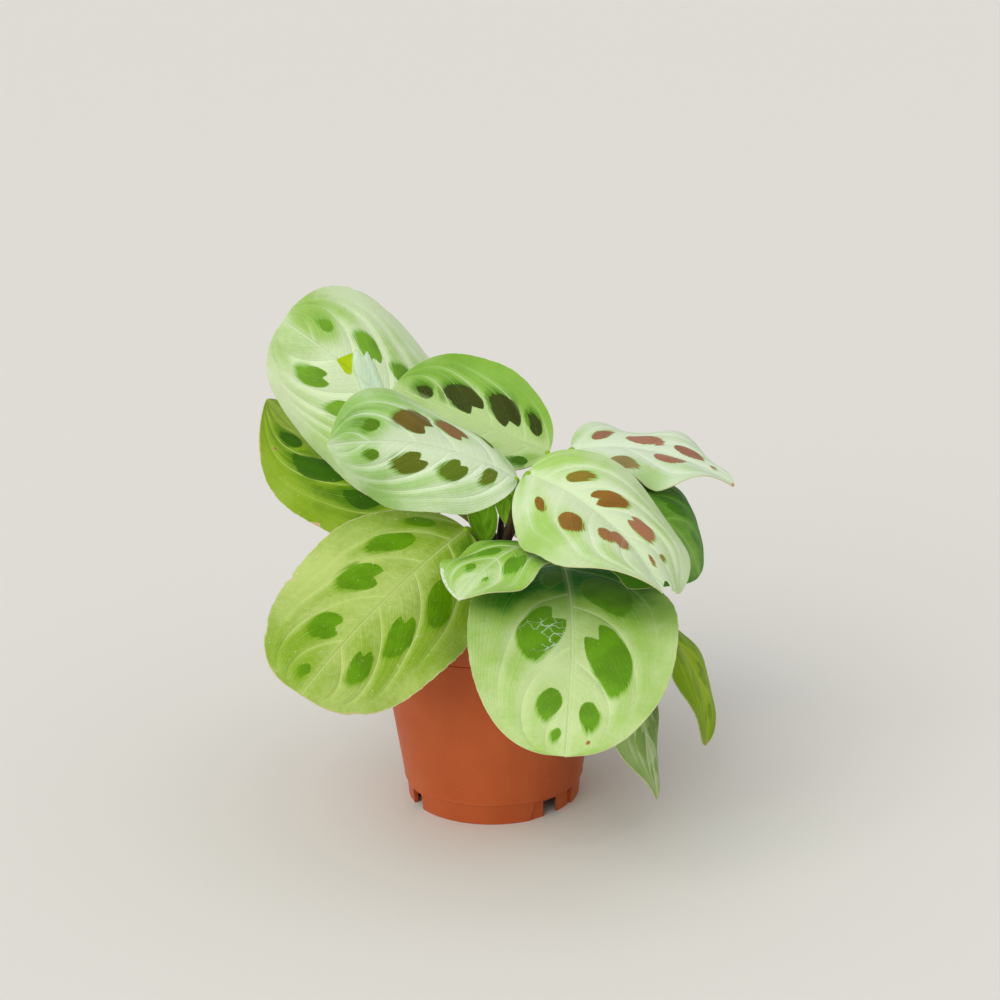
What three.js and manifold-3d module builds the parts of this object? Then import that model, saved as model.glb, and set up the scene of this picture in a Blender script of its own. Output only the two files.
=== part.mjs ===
// A prayer plant (maranta) in its nursery pot, standing on a flat surface.
// Millimetres, +Z up. x runs to the right and y away from the front, and z = 0 is under the pot's foot.
//
// The pot is a thin moulded shell with a rim band and a notched foot ring. Soil fills it, and a clump of
// stems stands in plain holes in the soil. Each stem's petioles reach up and over the rim to the leaves, and
// every blade is a thin waved solid of its own, PETIOLE_GAP clear of the end of the petiole that carries it.
// Sizes and places below are taken from the pot's axis. The whole plant is centred on its own box at the end.

import * as THREE from 'three';
import { mergeVertices } from 'three/addons/utils/BufferGeometryUtils.js';
import Module from 'manifold-3d';

const wasm = await Module();
wasm.setup();

const DEGREE = Math.PI / 180;
const GAP = 0.3;

// Pot.
const RIM_DIAMETER = 105;
const POT_HEIGHT = 90;
const FOOT_DIAMETER = 78;
const FOOT_HEIGHT = 10;
const FLOOR_THICKNESS = 1.5;
const WALL_THICKNESS = 1.5;
const SKIRT_THICKNESS = 1.8;
const BAND_HEIGHT = 9.5;
const BAND_STEP = 1.3;
const WALL_TOP_RADIUS = RIM_DIAMETER / 2 - BAND_STEP - 0.3;
const WALL_FOOT_RADIUS = FOOT_DIAMETER / 2 + 1.6;
const POT_SIDES = 56;

// Foot ring: four notches in two pairs, seen from above. Two of them lie in a shallow moulded recess with a
// groove at its far end, RECESS_SPAN and GROOVE_SPAN degrees from the notch.
const NOTCH_ANGLES = [209, 311, 29, 131];
const RECESSED_NOTCHES = [311, 131];
const NOTCH_WIDTH = 8;
const NOTCH_HEIGHT = 7.5;
const NOTCH_CORNER = 2;
const NOTCH_REACH = 12;
const RECESS_SPAN = [-17, 19.5];
const RECESS_LEAN = 3;
const RECESS_DEPTH = 0.7;
const RECESS_HEIGHT = 8.4;
const GROOVE_SPAN = [19.4, 21.6];
const GROOVE_DEPTH = 1.2;
const DRAIN_COUNT = 6;
const DRAIN_DIAMETER = 8;
const DRAIN_CIRCLE_RADIUS = 24;
const DRAIN_SIDES = 16;

// Soil and stems.
const SOIL_TOP = 79;
const SOIL_MOUND = 3;
const SOIL_ROUGHNESS = 0.7;
const SOIL_RINGS = 6;
const SOIL_SIDES = 36;
const STEM_FOOT_DEPTH = 18;
const STEM_SHOULDER = 7;
const STEM_SIDES = 9;
const SHEATH_SWELL = 1.3;
const HOLE_SIDES = 14;
const PETIOLE_RADIUS = 1.3;
const SMALL_PETIOLE_RADIUS = 1;
const PETIOLE_SIDES = 7;
const PETIOLE_STEPS = 8;
const PETIOLE_GAP = 0.8;
const PETIOLE_BEND = 5;
const PETIOLE_RISE = 0.15;

// Leaf blades. A leaf up to SMALL_LEAF long has fewer rows and columns and a thinner petiole.
const SMALL_LEAF = 60;
const BLADE_GRID = [16, 8];
const SMALL_BLADE_GRID = [12, 6];
const ROW_CROWDING = 0.09;
const BLADE_THICKNESS = 0.7;
const MIDRIB_THICKNESS = 0.9;
const BLADE_BASE_HALF_WIDTH = 1.1;
const BLADE_TIP_HALF_WIDTH = 0.4;
const BASE_ROUNDNESS = 2.2;
const WAVE_LAG = 0.27;
const RIB_STEPS = 40;

// Main stems: where each stands in the soil and where its crown is.
const STEMS = {
  left: { foot: [-7, 0], crown: [-1, -5, 111], radius: 3 },
  right: { foot: [8, -5], crown: [5, -6, 110], radius: 3 },
  rear: { foot: [3, 9], crown: [4, 6, 114], radius: 3 },
};

const CLUMP_CENTRE = [3, -1, 105];

// Leaves. heading is the way the midrib sets off, seen from above (0 is to the right, 90 to the back), and
// swing how far it turns by the tip. rise and dip are the midrib's slopes at base and tip. bank rolls the
// blade about its midrib, left side up, and twist is added to it by the tip. fold lifts both halves from the
// midrib, curl bends them on towards the margin, and wave ripples the margin, waves times along its length.
// widest is where along its length the blade is widest, and point is how sharply it closes at the tip.
const LEAVES = {
  leaf_top_left: {
    stem: 'rear', base: [-10, 37, 133], heading: 171, swing: 7, rise: 51, dip: 36, bank: -44, twist: -37,
    length: 113, width: 86, fold: 5, curl: -81, widest: 0.54, point: 0.43, wave: 1.5, waves: 2, phase: 0.06,
  },
  leaf_far_left: {
    stem: 'rear', base: [-19, 42, 122], heading: 167, swing: -9, rise: 6, dip: 49, bank: 3, twist: -10,
    length: 101, width: 69, fold: 2, curl: -75, widest: 0.5, point: 0.74, wave: 1.4, waves: 2, phase: 0,
  },
  leaf_upper_middle: {
    stem: 'rear', base: [27, 22, 153], heading: 161, swing: 3, rise: 18, dip: 22, bank: -33, twist: -16,
    length: 77, width: 60, fold: 13, curl: -3, widest: 0.55, point: 0.63, wave: 1.5, waves: 2, phase: -0.28,
  },
  leaf_centre: {
    stem: 'right', base: [12.4, -13, 152], heading: 195, swing: 7, rise: 35, dip: -2, bank: -25, twist: -65,
    length: 89, width: 59, fold: 7, curl: -78, widest: 0.58, point: 0.76, wave: 2.8, waves: 2, phase: 0.2,
  },
  leaf_lower_left: {
    stem: 'left', base: [-10, -16, 131], heading: 228, swing: 8, rise: -16, dip: -25, bank: -37, twist: 6,
    length: 116, width: 78, fold: -5, curl: 0, widest: 0.48, point: 0.37, wave: 2.3, waves: 2, phase: -0.2,
  },
  leaf_front: {
    stem: 'right', base: [32, -16, 114], heading: -84, swing: -16, rise: -1, dip: -44, bank: -5, twist: 9,
    length: 117, width: 88, fold: 3, curl: 2, widest: 0.47, point: 0.4, wave: 1.7, waves: 2, phase: 0.02,
  },
  leaf_right: {
    stem: 'right', base: [17, -14, 155.3], heading: -43, swing: -27, rise: -5, dip: -26, bank: 36, twist: -64,
    length: 100, width: 70, fold: 16, curl: -64, widest: 0.51, point: 0.53, wave: 1.8, waves: 2, phase: -0.47,
  },
  leaf_small_front: {
    stem: 'right', base: [19, -33, 130], heading: 230, swing: 4, rise: 9, dip: -31, bank: 8, twist: -13,
    length: 54, width: 47, fold: 10, curl: -31, widest: 0.48, point: 0.77, wave: 2.4, waves: 2, phase: 0.1,
  },
  leaf_upper_right: {
    stem: 'rear', base: [37, 20, 155], heading: 0, swing: -23, rise: 9, dip: -30, bank: 17, twist: -21,
    length: 76, width: 55, fold: 14, curl: -42, widest: 0.48, point: 0.88, wave: 3.9, waves: 2, phase: -0.19,
  },
  leaf_under_right: {
    stem: 'right', base: [31, -8, 134], heading: -18, swing: 12, rise: 38, dip: -81, bank: 25, twist: -11,
    length: 80, width: 79, fold: 1, curl: -36, widest: 0.67, point: 0.56, wave: 1.9, waves: 2, phase: -0.39,
  },
  leaf_hanging_right: {
    stem: 'right', base: [56, -8, 95], heading: -18, swing: -17, rise: -16, dip: -98, bank: -16, twist: 7,
    length: 84, width: 43, fold: 12, curl: -36, widest: 0.49, point: 0.69, wave: 1.8, waves: 2, phase: -0.05,
  },
  leaf_hanging_front: {
    stem: 'right', base: [50, -29, 89], heading: -35, swing: 11, rise: -59, dip: -84, bank: 2, twist: -14,
    length: 81, width: 47, fold: 6, curl: -28, widest: 0.5, point: 0.73, wave: 2.1, waves: 2, phase: -0.19,
  },
  leaf_back_low: {
    stem: 'rear', base: [4, 28, 102], heading: 90, swing: 6, rise: 0, dip: -56, bank: 0, twist: 0,
    length: 90, width: 60, fold: 8, curl: -20, widest: 0.48, point: 0.65, wave: 1.6, waves: 2, phase: 0.3,
  },
  leaf_back_right: {
    stem: 'rear', base: [18, 22, 110], heading: 60, swing: -8, rise: 4, dip: -52, bank: 6, twist: 0,
    length: 98, width: 62, fold: 8, curl: -24, widest: 0.48, point: 0.6, wave: 2, waves: 2, phase: 0.1,
  },
  leaf_back_left: {
    stem: 'left', base: [-18, 12, 108], heading: 138, swing: 10, rise: 8, dip: -50, bank: -6, twist: 0,
    length: 94, width: 60, fold: 8, curl: -22, widest: 0.48, point: 0.6, wave: 1.8, waves: 2, phase: 0.6,
  },
  leaf_young: {
    stem: 'left', base: [-2, -1, 119], heading: 112, swing: 0, rise: 66, dip: 58, bank: 0, twist: 0,
    length: 32, width: 15, fold: 24, curl: 0, widest: 0.42, point: 0.8, wave: 0.6, waves: 1, phase: 0.2,
  },
  leaf_small_hanging: {
    stem: 'rear', base: [8, 3, 151], heading: -96, swing: 0, rise: -50, dip: -88, bank: 0, twist: 0,
    length: 24, width: 11, fold: 14, curl: 0, widest: 0.4, point: 0.95, wave: 0.3, waves: 1, phase: 0.2,
  },
};

// ---- Solids ----------------------------------------------------------------------------------------------

function toSolid(geometry) {
  const bare = geometry.clone();
  bare.deleteAttribute('normal');
  bare.deleteAttribute('uv');
  const merged = mergeVertices(bare, 1e-4);
  return new wasm.Manifold(new wasm.Mesh({
    numProp: 3,
    vertProperties: new Float32Array(merged.attributes.position.array),
    triVerts: new Uint32Array(merged.index.array),
  }));
}

function toGeometry(solid) {
  const mesh = solid.getMesh();
  const geometry = new THREE.BufferGeometry();
  geometry.setAttribute('position', new THREE.BufferAttribute(new Float32Array(mesh.vertProperties), 3));
  geometry.setIndex(Array.from(mesh.triVerts));
  geometry.computeVertexNormals();
  return geometry;
}

function cutAll(solid, cutters) {
  return cutters.reduce((rest, cutter) => rest.subtract(toSolid(cutter)), solid);
}

function joinAll(geometries) {
  return geometries.map(toSolid).reduce((whole, piece) => whole.add(piece));
}

function mix(from, to, share) {
  return from + (to - from) * share;
}

// ---- Pot -------------------------------------------------------------------------------------------------

// Outer wall radius at a height between the foot ring and the rim band.
function wallRadius(z) {
  const bandBottom = POT_HEIGHT - BAND_HEIGHT;
  return mix(WALL_FOOT_RADIUS, WALL_TOP_RADIUS, (z - FOOT_HEIGHT) / (bandBottom - FOOT_HEIGHT));
}

// A turned profile, from radius and height pairs, standing on +Z.
function turned(profile, sides) {
  const points = profile.map(([radius, height]) => new THREE.Vector2(radius, height));
  const geometry = new THREE.LatheGeometry(points, sides);
  geometry.rotateX(Math.PI / 2);
  return geometry;
}

function potShell() {
  const rim = RIM_DIAMETER / 2;
  const foot = FOOT_DIAMETER / 2;
  const bandBottom = POT_HEIGHT - BAND_HEIGHT;
  const floorTop = FOOT_HEIGHT + FLOOR_THICKNESS / 2;
  const floorBottom = FOOT_HEIGHT - FLOOR_THICKNESS / 2;
  return turned([
    [0, floorBottom],
    [foot - SKIRT_THICKNESS + 0.2, floorBottom],
    [foot - SKIRT_THICKNESS, 0],
    [foot - 0.4, 0],
    [foot, 0.5],
    [foot + 0.7, FOOT_HEIGHT - 1],
    [foot + 1.4, FOOT_HEIGHT - 0.4],
    [wallRadius(FOOT_HEIGHT + 0.6), FOOT_HEIGHT + 0.6],
    [wallRadius(bandBottom - 0.6), bandBottom - 0.6],
    [rim - 0.5, bandBottom - 0.2],
    [rim - 0.3, bandBottom + 0.4],
    [rim, POT_HEIGHT - 0.8],
    [rim - 0.3, POT_HEIGHT - 0.2],
    [rim - 0.8, POT_HEIGHT],
    [rim - WALL_THICKNESS - 0.2, POT_HEIGHT - 0.2],
    [rim - WALL_THICKNESS - 0.5, bandBottom],
    [wallRadius(bandBottom) - WALL_THICKNESS, bandBottom - 1.5],
    [wallRadius(floorTop + 1) - WALL_THICKNESS, floorTop + 1],
    [wallRadius(floorTop) - WALL_THICKNESS - 1, floorTop],
    [0, floorTop],
  ], POT_SIDES);
}

// One notch, cut straight through the skirt, with its lower corners rounded outwards.
function notchCutter(angle) {
  const half = NOTCH_WIDTH / 2;
  const outline = new THREE.Shape();
  outline.moveTo(-half - NOTCH_CORNER, -1);
  outline.lineTo(-half - NOTCH_CORNER, 0);
  outline.quadraticCurveTo(-half, 0, -half, NOTCH_CORNER);
  outline.lineTo(-half, NOTCH_HEIGHT);
  outline.lineTo(half, NOTCH_HEIGHT);
  outline.lineTo(half, NOTCH_CORNER);
  outline.quadraticCurveTo(half, 0, half + NOTCH_CORNER, 0);
  outline.lineTo(half + NOTCH_CORNER, -1);
  const cutter = new THREE.ExtrudeGeometry(outline, {
    depth: NOTCH_REACH,
    bevelEnabled: false,
    curveSegments: 3,
  });
  cutter.rotateX(Math.PI / 2);
  cutter.rotateZ(Math.PI / 2);
  cutter.translate((FOOT_DIAMETER - NOTCH_REACH) / 2, 0, 0);
  cutter.rotateZ(angle * DEGREE);
  return cutter;
}

// A curved block round the pot's axis, its first end leaning by lean degrees from bottom to top.
function sectorCutter(fromAngle, toAngle, lean, innerRadius, top) {
  const cutter = new THREE.BoxGeometry(1, 1, 1, 10, 1, 1);
  const place = cutter.attributes.position;
  for (let i = 0; i < place.count; i += 1) {
    const up = place.getZ(i) + 0.5;
    const start = fromAngle + lean * up;
    const angle = mix(start, toAngle, place.getX(i) + 0.5) * DEGREE;
    const radius = mix(innerRadius, FOOT_DIAMETER / 2 + 4, place.getY(i) + 0.5);
    place.setXYZ(i, radius * Math.cos(angle), radius * Math.sin(angle), mix(-1, top, up));
  }
  // The mapping mirrors the block, so its faces are turned round again.
  const order = cutter.index.array;
  for (let i = 0; i < order.length; i += 3) {
    [order[i], order[i + 1]] = [order[i + 1], order[i]];
  }
  return cutter;
}

function recessCutters(angle) {
  const foot = FOOT_DIAMETER / 2;
  const [recessFrom, recessTo] = RECESS_SPAN;
  const [grooveFrom, grooveTo] = GROOVE_SPAN;
  return [
    sectorCutter(angle + recessFrom, angle + recessTo, RECESS_LEAN, foot - RECESS_DEPTH, RECESS_HEIGHT),
    sectorCutter(angle + grooveFrom, angle + grooveTo, 0, foot - GROOVE_DEPTH, RECESS_HEIGHT),
  ];
}

function drainCutters() {
  return Array.from({ length: DRAIN_COUNT }, (_, i) => {
    const angle = (i + 0.5) * 2 * Math.PI / DRAIN_COUNT;
    const radius = DRAIN_DIAMETER / 2;
    const cutter = new THREE.CylinderGeometry(radius, radius, 4 * FLOOR_THICKNESS, DRAIN_SIDES);
    cutter.rotateX(Math.PI / 2);
    cutter.translate(DRAIN_CIRCLE_RADIUS, 0, FOOT_HEIGHT);
    cutter.rotateZ(angle);
    return cutter;
  });
}

function potGeometry() {
  const cutters = [
    ...NOTCH_ANGLES.map(notchCutter),
    ...RECESSED_NOTCHES.flatMap(recessCutters),
    ...drainCutters(),
  ];
  return toGeometry(cutAll(toSolid(potShell()), cutters));
}

// ---- Leaf blades -----------------------------------------------------------------------------------------

function headingAndSlope(leaf, t) {
  return [
    (leaf.heading + leaf.swing * t) * DEGREE,
    mix(leaf.rise, leaf.dip, t) * DEGREE,
  ];
}

function ribDirection(leaf, t) {
  const [heading, slope] = headingAndSlope(leaf, t);
  return new THREE.Vector3(
    Math.cos(slope) * Math.cos(heading),
    Math.cos(slope) * Math.sin(heading),
    Math.sin(slope),
  );
}

// The midrib's points, RIB_STEPS equal steps long.
function ribPoints(leaf) {
  const points = [new THREE.Vector3(...leaf.base)];
  for (let i = 0; i < RIB_STEPS; i += 1) {
    const step = ribDirection(leaf, (i + 0.5) / RIB_STEPS).multiplyScalar(leaf.length / RIB_STEPS);
    points.push(points[i].clone().add(step));
  }
  return points;
}

function ribPoint(points, t) {
  const at = Math.min(t * RIB_STEPS, RIB_STEPS - 1e-9);
  const i = Math.floor(at);
  return points[i].clone().lerp(points[i + 1], at - i);
}

// Half of the blade's width at t, as a share of its greatest half width.
function outline(leaf, t) {
  if (t < leaf.widest) {
    return Math.sqrt(1 - ((leaf.widest - t) / leaf.widest) ** BASE_ROUNDNESS);
  }
  return (1 - ((t - leaf.widest) / (1 - leaf.widest)) ** 2) ** leaf.point;
}

// A point of the blade's middle surface, t along the midrib from base to tip and s across it, from -1 at the
// right margin to 1 at the left one.
function bladePoint(leaf, points, t, s) {
  const [heading] = headingAndSlope(leaf, t);
  const along = ribDirection(leaf, t);
  const level = new THREE.Vector3(-Math.sin(heading), Math.cos(heading), 0);
  const raised = along.clone().cross(level);
  const bank = (leaf.bank + leaf.twist * t) * DEGREE;
  const left = level.clone().multiplyScalar(Math.cos(bank)).addScaledVector(raised, Math.sin(bank));
  const up = raised.clone().multiplyScalar(Math.cos(bank)).addScaledVector(level, -Math.sin(bank));

  const side = Math.sign(s);
  const least = mix(BLADE_BASE_HALF_WIDTH, BLADE_TIP_HALF_WIDTH, t);
  const reach = Math.abs(s) * Math.max(leaf.width / 2 * outline(leaf, t), least);
  const lift = (leaf.fold + leaf.curl * reach / leaf.width) * DEGREE;
  const ripple = leaf.wave * Math.abs(s) ** 1.6 * Math.sin(Math.PI * t) ** 0.6
    * Math.sin(2 * Math.PI * (leaf.waves * t + leaf.phase + WAVE_LAG * side));
  return ribPoint(points, t)
    .addScaledVector(left, side * reach * Math.cos(lift))
    .addScaledVector(up, reach * Math.sin(lift) + ripple);
}

function bladeNormal(leaf, points, t, s) {
  const step = 0.01;
  const ahead = bladePoint(leaf, points, Math.min(t + step, 1), s);
  const behind = bladePoint(leaf, points, Math.max(t - step, 0), s);
  const leftward = bladePoint(leaf, points, t, Math.min(s + step, 1));
  const rightward = bladePoint(leaf, points, t, Math.max(s - step, -1));
  return ahead.sub(behind).cross(leftward.sub(rightward)).normalize();
}

// Rows of a blade crowd towards its two ends, where the outline turns fastest.
function rowPosition(row, rows) {
  const even = row / rows;
  return even - ROW_CROWDING * Math.sin(2 * Math.PI * even);
}

// One blade: the same grid of triangles above and below, closed round its margin, thicker along the midrib.
function bladeGeometry(leaf) {
  const [rows, columns] = leaf.length > SMALL_LEAF ? BLADE_GRID : SMALL_BLADE_GRID;
  const points = ribPoints(leaf);
  const upper = [];
  const lower = [];
  for (let row = 0; row <= rows; row += 1) {
    const t = THREE.MathUtils.clamp(rowPosition(row, rows), 0, 1);
    for (let column = 0; column <= columns; column += 1) {
      const s = 2 * column / columns - 1;
      const middle = bladePoint(leaf, points, t, s);
      const normal = bladeNormal(leaf, points, t, s);
      const rib = s === 0 ? MIDRIB_THICKNESS * (1 - t) : 0;
      upper.push(middle.clone().addScaledVector(normal, BLADE_THICKNESS / 2));
      lower.push(middle.clone().addScaledVector(normal, -BLADE_THICKNESS / 2 - rib));
    }
  }

  const count = upper.length;
  const at = (row, column) => row * (columns + 1) + column;
  const index = [];
  const addFace = (a, b, c) => index.push(a, b, c, c + count, b + count, a + count);
  for (let row = 0; row < rows; row += 1) {
    for (let column = 0; column < columns; column += 1) {
      const a = at(row, column);
      const b = at(row + 1, column);
      const c = at(row + 1, column + 1);
      const d = at(row, column + 1);
      if (column < columns / 2) {
        addFace(a, b, c);
        addFace(a, c, d);
      } else {
        addFace(a, b, d);
        addFace(b, c, d);
      }
    }
  }

  const edge = [];
  for (let row = 0; row < rows; row += 1) edge.push(at(row, 0));
  for (let column = 0; column < columns; column += 1) edge.push(at(rows, column));
  for (let row = rows; row > 0; row -= 1) edge.push(at(row, columns));
  for (let column = columns; column > 0; column -= 1) edge.push(at(0, column));
  edge.forEach((from, i) => {
    const to = edge[(i + 1) % edge.length];
    index.push(from, from + count, to + count, from, to + count, to);
  });

  const geometry = new THREE.BufferGeometry().setFromPoints([...upper, ...lower]);
  geometry.setIndex(index);
  geometry.computeVertexNormals();
  return geometry;
}

// ---- Stems and soil --------------------------------------------------------------------------------------

// A round rod along a curve, closed at both ends.
function rod(curve, radius, sides, steps) {
  const section = new THREE.Shape();
  for (let i = 0; i < sides; i += 1) {
    const angle = 2 * Math.PI * i / sides;
    const x = radius * Math.cos(angle);
    const y = radius * Math.sin(angle);
    if (i === 0) section.moveTo(x, y);
    else section.lineTo(x, y);
  }
  return new THREE.ExtrudeGeometry(section, { extrudePath: curve, steps, bevelEnabled: false });
}

// A stem stands straight in the soil and leans over to its crown, where the stems press together.
function stemRods(stem) {
  const [footX, footY] = stem.foot;
  const foot = new THREE.Vector3(footX, footY, SOIL_TOP - STEM_FOOT_DEPTH);
  const bend = new THREE.Vector3(footX, footY, SOIL_TOP + STEM_SHOULDER);
  const straight = new THREE.LineCurve3(foot, bend);
  const leaning = new THREE.QuadraticBezierCurve3(
    bend.clone().add(new THREE.Vector3(0, 0, -2)),
    bend.clone().add(new THREE.Vector3(0, 0, 8)),
    new THREE.Vector3(...stem.crown),
  );
  return [
    rod(straight, stem.radius, STEM_SIDES, 2),
    rod(leaning, stem.radius * SHEATH_SWELL, STEM_SIDES, 6),
  ];
}

// The sheathing leaf bases that press the crowns into one clump.
function sheathRod(stem) {
  const crown = new THREE.Vector3(...stem.crown).add(new THREE.Vector3(0, 0, -2));
  return rod(new THREE.LineCurve3(new THREE.Vector3(...CLUMP_CENTRE), crown), stem.radius, STEM_SIDES, 2);
}

// A petiole leaves its stem a little below the crown, and runs straight into its blade's base.
function petioleRod(leaf) {
  const crown = new THREE.Vector3(...STEMS[leaf.stem].crown);
  const away = ribDirection(leaf, 0);
  const end = new THREE.Vector3(...leaf.base).addScaledVector(away, -PETIOLE_GAP);
  const start = crown.clone().add(new THREE.Vector3(0, 0, -3));
  const reach = start.distanceTo(end);
  const curve = new THREE.CubicBezierCurve3(
    start,
    start.clone().lerp(end, 0.3).add(new THREE.Vector3(0, 0, reach * PETIOLE_RISE)),
    end.clone().addScaledVector(away, -Math.min(reach * 0.3, PETIOLE_BEND)),
    end,
  );
  const radius = leaf.length > SMALL_LEAF ? PETIOLE_RADIUS : SMALL_PETIOLE_RADIUS;
  return rod(curve, radius, PETIOLE_SIDES, PETIOLE_STEPS);
}

function stemsGeometry() {
  return toGeometry(joinAll([
    ...Object.values(STEMS).flatMap(stemRods),
    ...Object.values(STEMS).map(sheathRod),
    ...Object.values(LEAVES).map(petioleRod),
  ]));
}

function soilGeometry() {
  const bottom = FOOT_HEIGHT + FLOOR_THICKNESS / 2 + GAP;
  const innerRadius = (z) => wallRadius(z) - WALL_THICKNESS - GAP;
  const edge = innerRadius(SOIL_TOP) - 0.3;
  const rings = Array.from({ length: SOIL_RINGS }, (_, i) => [edge * (1 - i / SOIL_RINGS), SOIL_TOP]);
  const body = turned([
    [0, bottom],
    [innerRadius(bottom) - 1.3, bottom],
    [innerRadius(bottom + 1.2) - 0.2, bottom + 1.2],
    ...rings,
    [0, SOIL_TOP],
  ], SOIL_SIDES);
  const place = body.attributes.position;
  for (let i = 0; i < place.count; i += 1) {
    if (place.getZ(i) > SOIL_TOP - 1) {
      const x = place.getX(i);
      const y = place.getY(i);
      const inward = 1 - Math.hypot(x, y) / edge;
      const crumbs = Math.sin(0.9 * x + 1.3) * Math.cos(0.8 * y) + 0.6 * Math.sin(1.7 * x - 1.1 * y);
      place.setZ(i, SOIL_TOP + SOIL_MOUND * inward + SOIL_ROUGHNESS * crumbs * Math.min(1, 6 * inward));
    }
  }
  const holes = Object.values(STEMS).map((stem) => {
    const radius = (stem.radius + GAP) / Math.cos(Math.PI / HOLE_SIDES);
    const depth = STEM_FOOT_DEPTH + GAP;
    const hole = new THREE.CylinderGeometry(radius, radius, 2 * depth, HOLE_SIDES);
    hole.rotateX(Math.PI / 2);
    hole.translate(stem.foot[0], stem.foot[1], SOIL_TOP);
    return hole;
  });
  return toGeometry(cutAll(toSolid(body), holes));
}

// ---- The whole plant -------------------------------------------------------------------------------------

const terracottaPlastic = { color: 0xa9552f, roughness: 0.5, metalness: 0 };
const pottingSoil = { color: 0x33241a, roughness: 1, metalness: 0 };
const petioleGreen = { color: 0x6b6a2e, roughness: 0.6, metalness: 0 };
const leafGreen = { color: 0xb6d694, roughness: 0.5, metalness: 0 };

function addMesh(group, name, geometry, look) {
  const mesh = new THREE.Mesh(geometry, new THREE.MeshStandardMaterial(look));
  mesh.name = name;
  group.add(mesh);
}

const plant = new THREE.Group();
addMesh(plant, 'pot', potGeometry(), terracottaPlastic);
addMesh(plant, 'soil', soilGeometry(), pottingSoil);
addMesh(plant, 'stems', stemsGeometry(), petioleGreen);
for (const [name, leaf] of Object.entries(LEAVES)) {
  addMesh(plant, name, bladeGeometry(leaf), leafGreen);
}

// The plant's own origin is the middle of the bottom of its box.
const box = new THREE.Box3().setFromObject(plant);
const centre = box.getCenter(new THREE.Vector3());
plant.position.set(-centre.x, -centre.y, -box.min.z);
plant.updateMatrixWorld(true);

export default plant;
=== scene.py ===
"""Looks for a potted prayer plant: its moulded pot, its soil, its clump of stems and every patterned leaf.

Lengths are millimetres from the pot's axis and the plane that its foot stands on, until Place turns them
into the scene's metres. Every piece keeps the form of the solid that it stands for, and adds what that solid
leaves out: veins, puckering, blotches and worn margins on the blades, rounded edges on the pot, and crumbs on
the soil.
"""
import logging
import math
from dataclasses import dataclass, field
from enum import Enum

import bpy
import numpy as np
from mathutils import Matrix, Vector


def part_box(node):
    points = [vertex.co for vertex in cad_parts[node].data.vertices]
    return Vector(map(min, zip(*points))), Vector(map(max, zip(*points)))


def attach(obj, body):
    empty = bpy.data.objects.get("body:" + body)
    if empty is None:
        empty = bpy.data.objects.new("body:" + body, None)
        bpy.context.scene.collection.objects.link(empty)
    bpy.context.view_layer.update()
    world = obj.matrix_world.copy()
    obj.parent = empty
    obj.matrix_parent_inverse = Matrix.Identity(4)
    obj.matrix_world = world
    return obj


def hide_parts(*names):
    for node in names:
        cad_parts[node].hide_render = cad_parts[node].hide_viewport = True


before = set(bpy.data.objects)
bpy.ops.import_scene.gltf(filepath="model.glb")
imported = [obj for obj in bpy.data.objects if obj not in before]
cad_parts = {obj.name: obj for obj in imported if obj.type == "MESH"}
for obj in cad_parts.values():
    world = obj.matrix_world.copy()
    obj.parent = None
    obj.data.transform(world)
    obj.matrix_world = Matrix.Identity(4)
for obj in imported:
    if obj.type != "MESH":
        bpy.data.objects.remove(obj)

log = logging.getLogger("prayer_plant")

MM = 0.001
BODY = "root"
SCREEN_WHITE = 255
SAME_PLACE = 1e-6
SMALL_LEAF = 60

Array = np.ndarray
Mesh = bpy.types.Mesh
Piece = bpy.types.Object
Socket = bpy.types.NodeSocket
Colour = tuple[int, int, int]
Point = tuple[float, float, float]
Outline = tuple[tuple[float, float], ...]


# ---- Shared helpers --------------------------------------------------------------------------------------


class Place:
    """Turns millimetres from the pot's axis into the scene's metres."""

    def __init__(self) -> None:
        """Reads the pot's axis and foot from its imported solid."""
        low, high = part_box("pot")
        self.origin = np.array([(low.x + high.x) / 2, (low.y + high.y) / 2, low.z])

    def metres(self, points: Array) -> Array:
        """Places points, given in millimetres with one a row, in the scene's frame."""
        return np.asarray(points, float) * MM + self.origin


def linear(colour: Colour) -> tuple[float, float, float, float]:
    """Turns a colour as seen on a screen into a shader's linear one.

    Args:
        colour: Red, green and blue from 0 to 255.

    Returns:
        Linear red, green, blue and an alpha of 1.
    """
    shares = [c / SCREEN_WHITE for c in colour]
    return (*(c / 12.92 if c <= 0.04045 else ((c + 0.055) / 1.055) ** 2.4 for c in shares), 1.0)


def scaled(colour: Colour, share: float, lift: float = 0) -> Colour:
    """Makes a colour lighter or darker: each part is scaled, then lifted."""
    return tuple(min(SCREEN_WHITE, int(c * share + lift)) for c in colour)


def smooth(value: Array, low: float, high: float) -> Array:
    """Eases from 0 at low to 1 at high."""
    share = np.clip((value - low) / (high - low), 0, 1)
    return share * share * (3 - 2 * share)


def deselect_all() -> None:
    """Deselects every object, because an operator acts on all that is selected."""
    bpy.ops.object.select_all(action="DESELECT")


def choose(piece: Piece) -> None:
    """Selects one piece alone and makes it the active one."""
    deselect_all()
    piece.select_set(True)
    bpy.context.view_layer.objects.active = piece


def take_new(name: str) -> Piece:
    """Names the object that an operator has just added, and its mesh."""
    piece = bpy.context.object
    piece.name = name
    piece.data.name = name
    return piece


def read_points(mesh: Mesh) -> Array:
    """Reads a mesh's vertices, one a row."""
    flat = np.zeros(len(mesh.vertices) * 3)
    mesh.vertices.foreach_get("co", flat)
    return flat.reshape(-1, 3)


def write_points(mesh: Mesh, points: Array) -> None:
    """Writes a mesh's vertices, one a row."""
    mesh.vertices.foreach_set("co", np.ascontiguousarray(points, dtype=np.float32).ravel())
    mesh.update()


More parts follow.
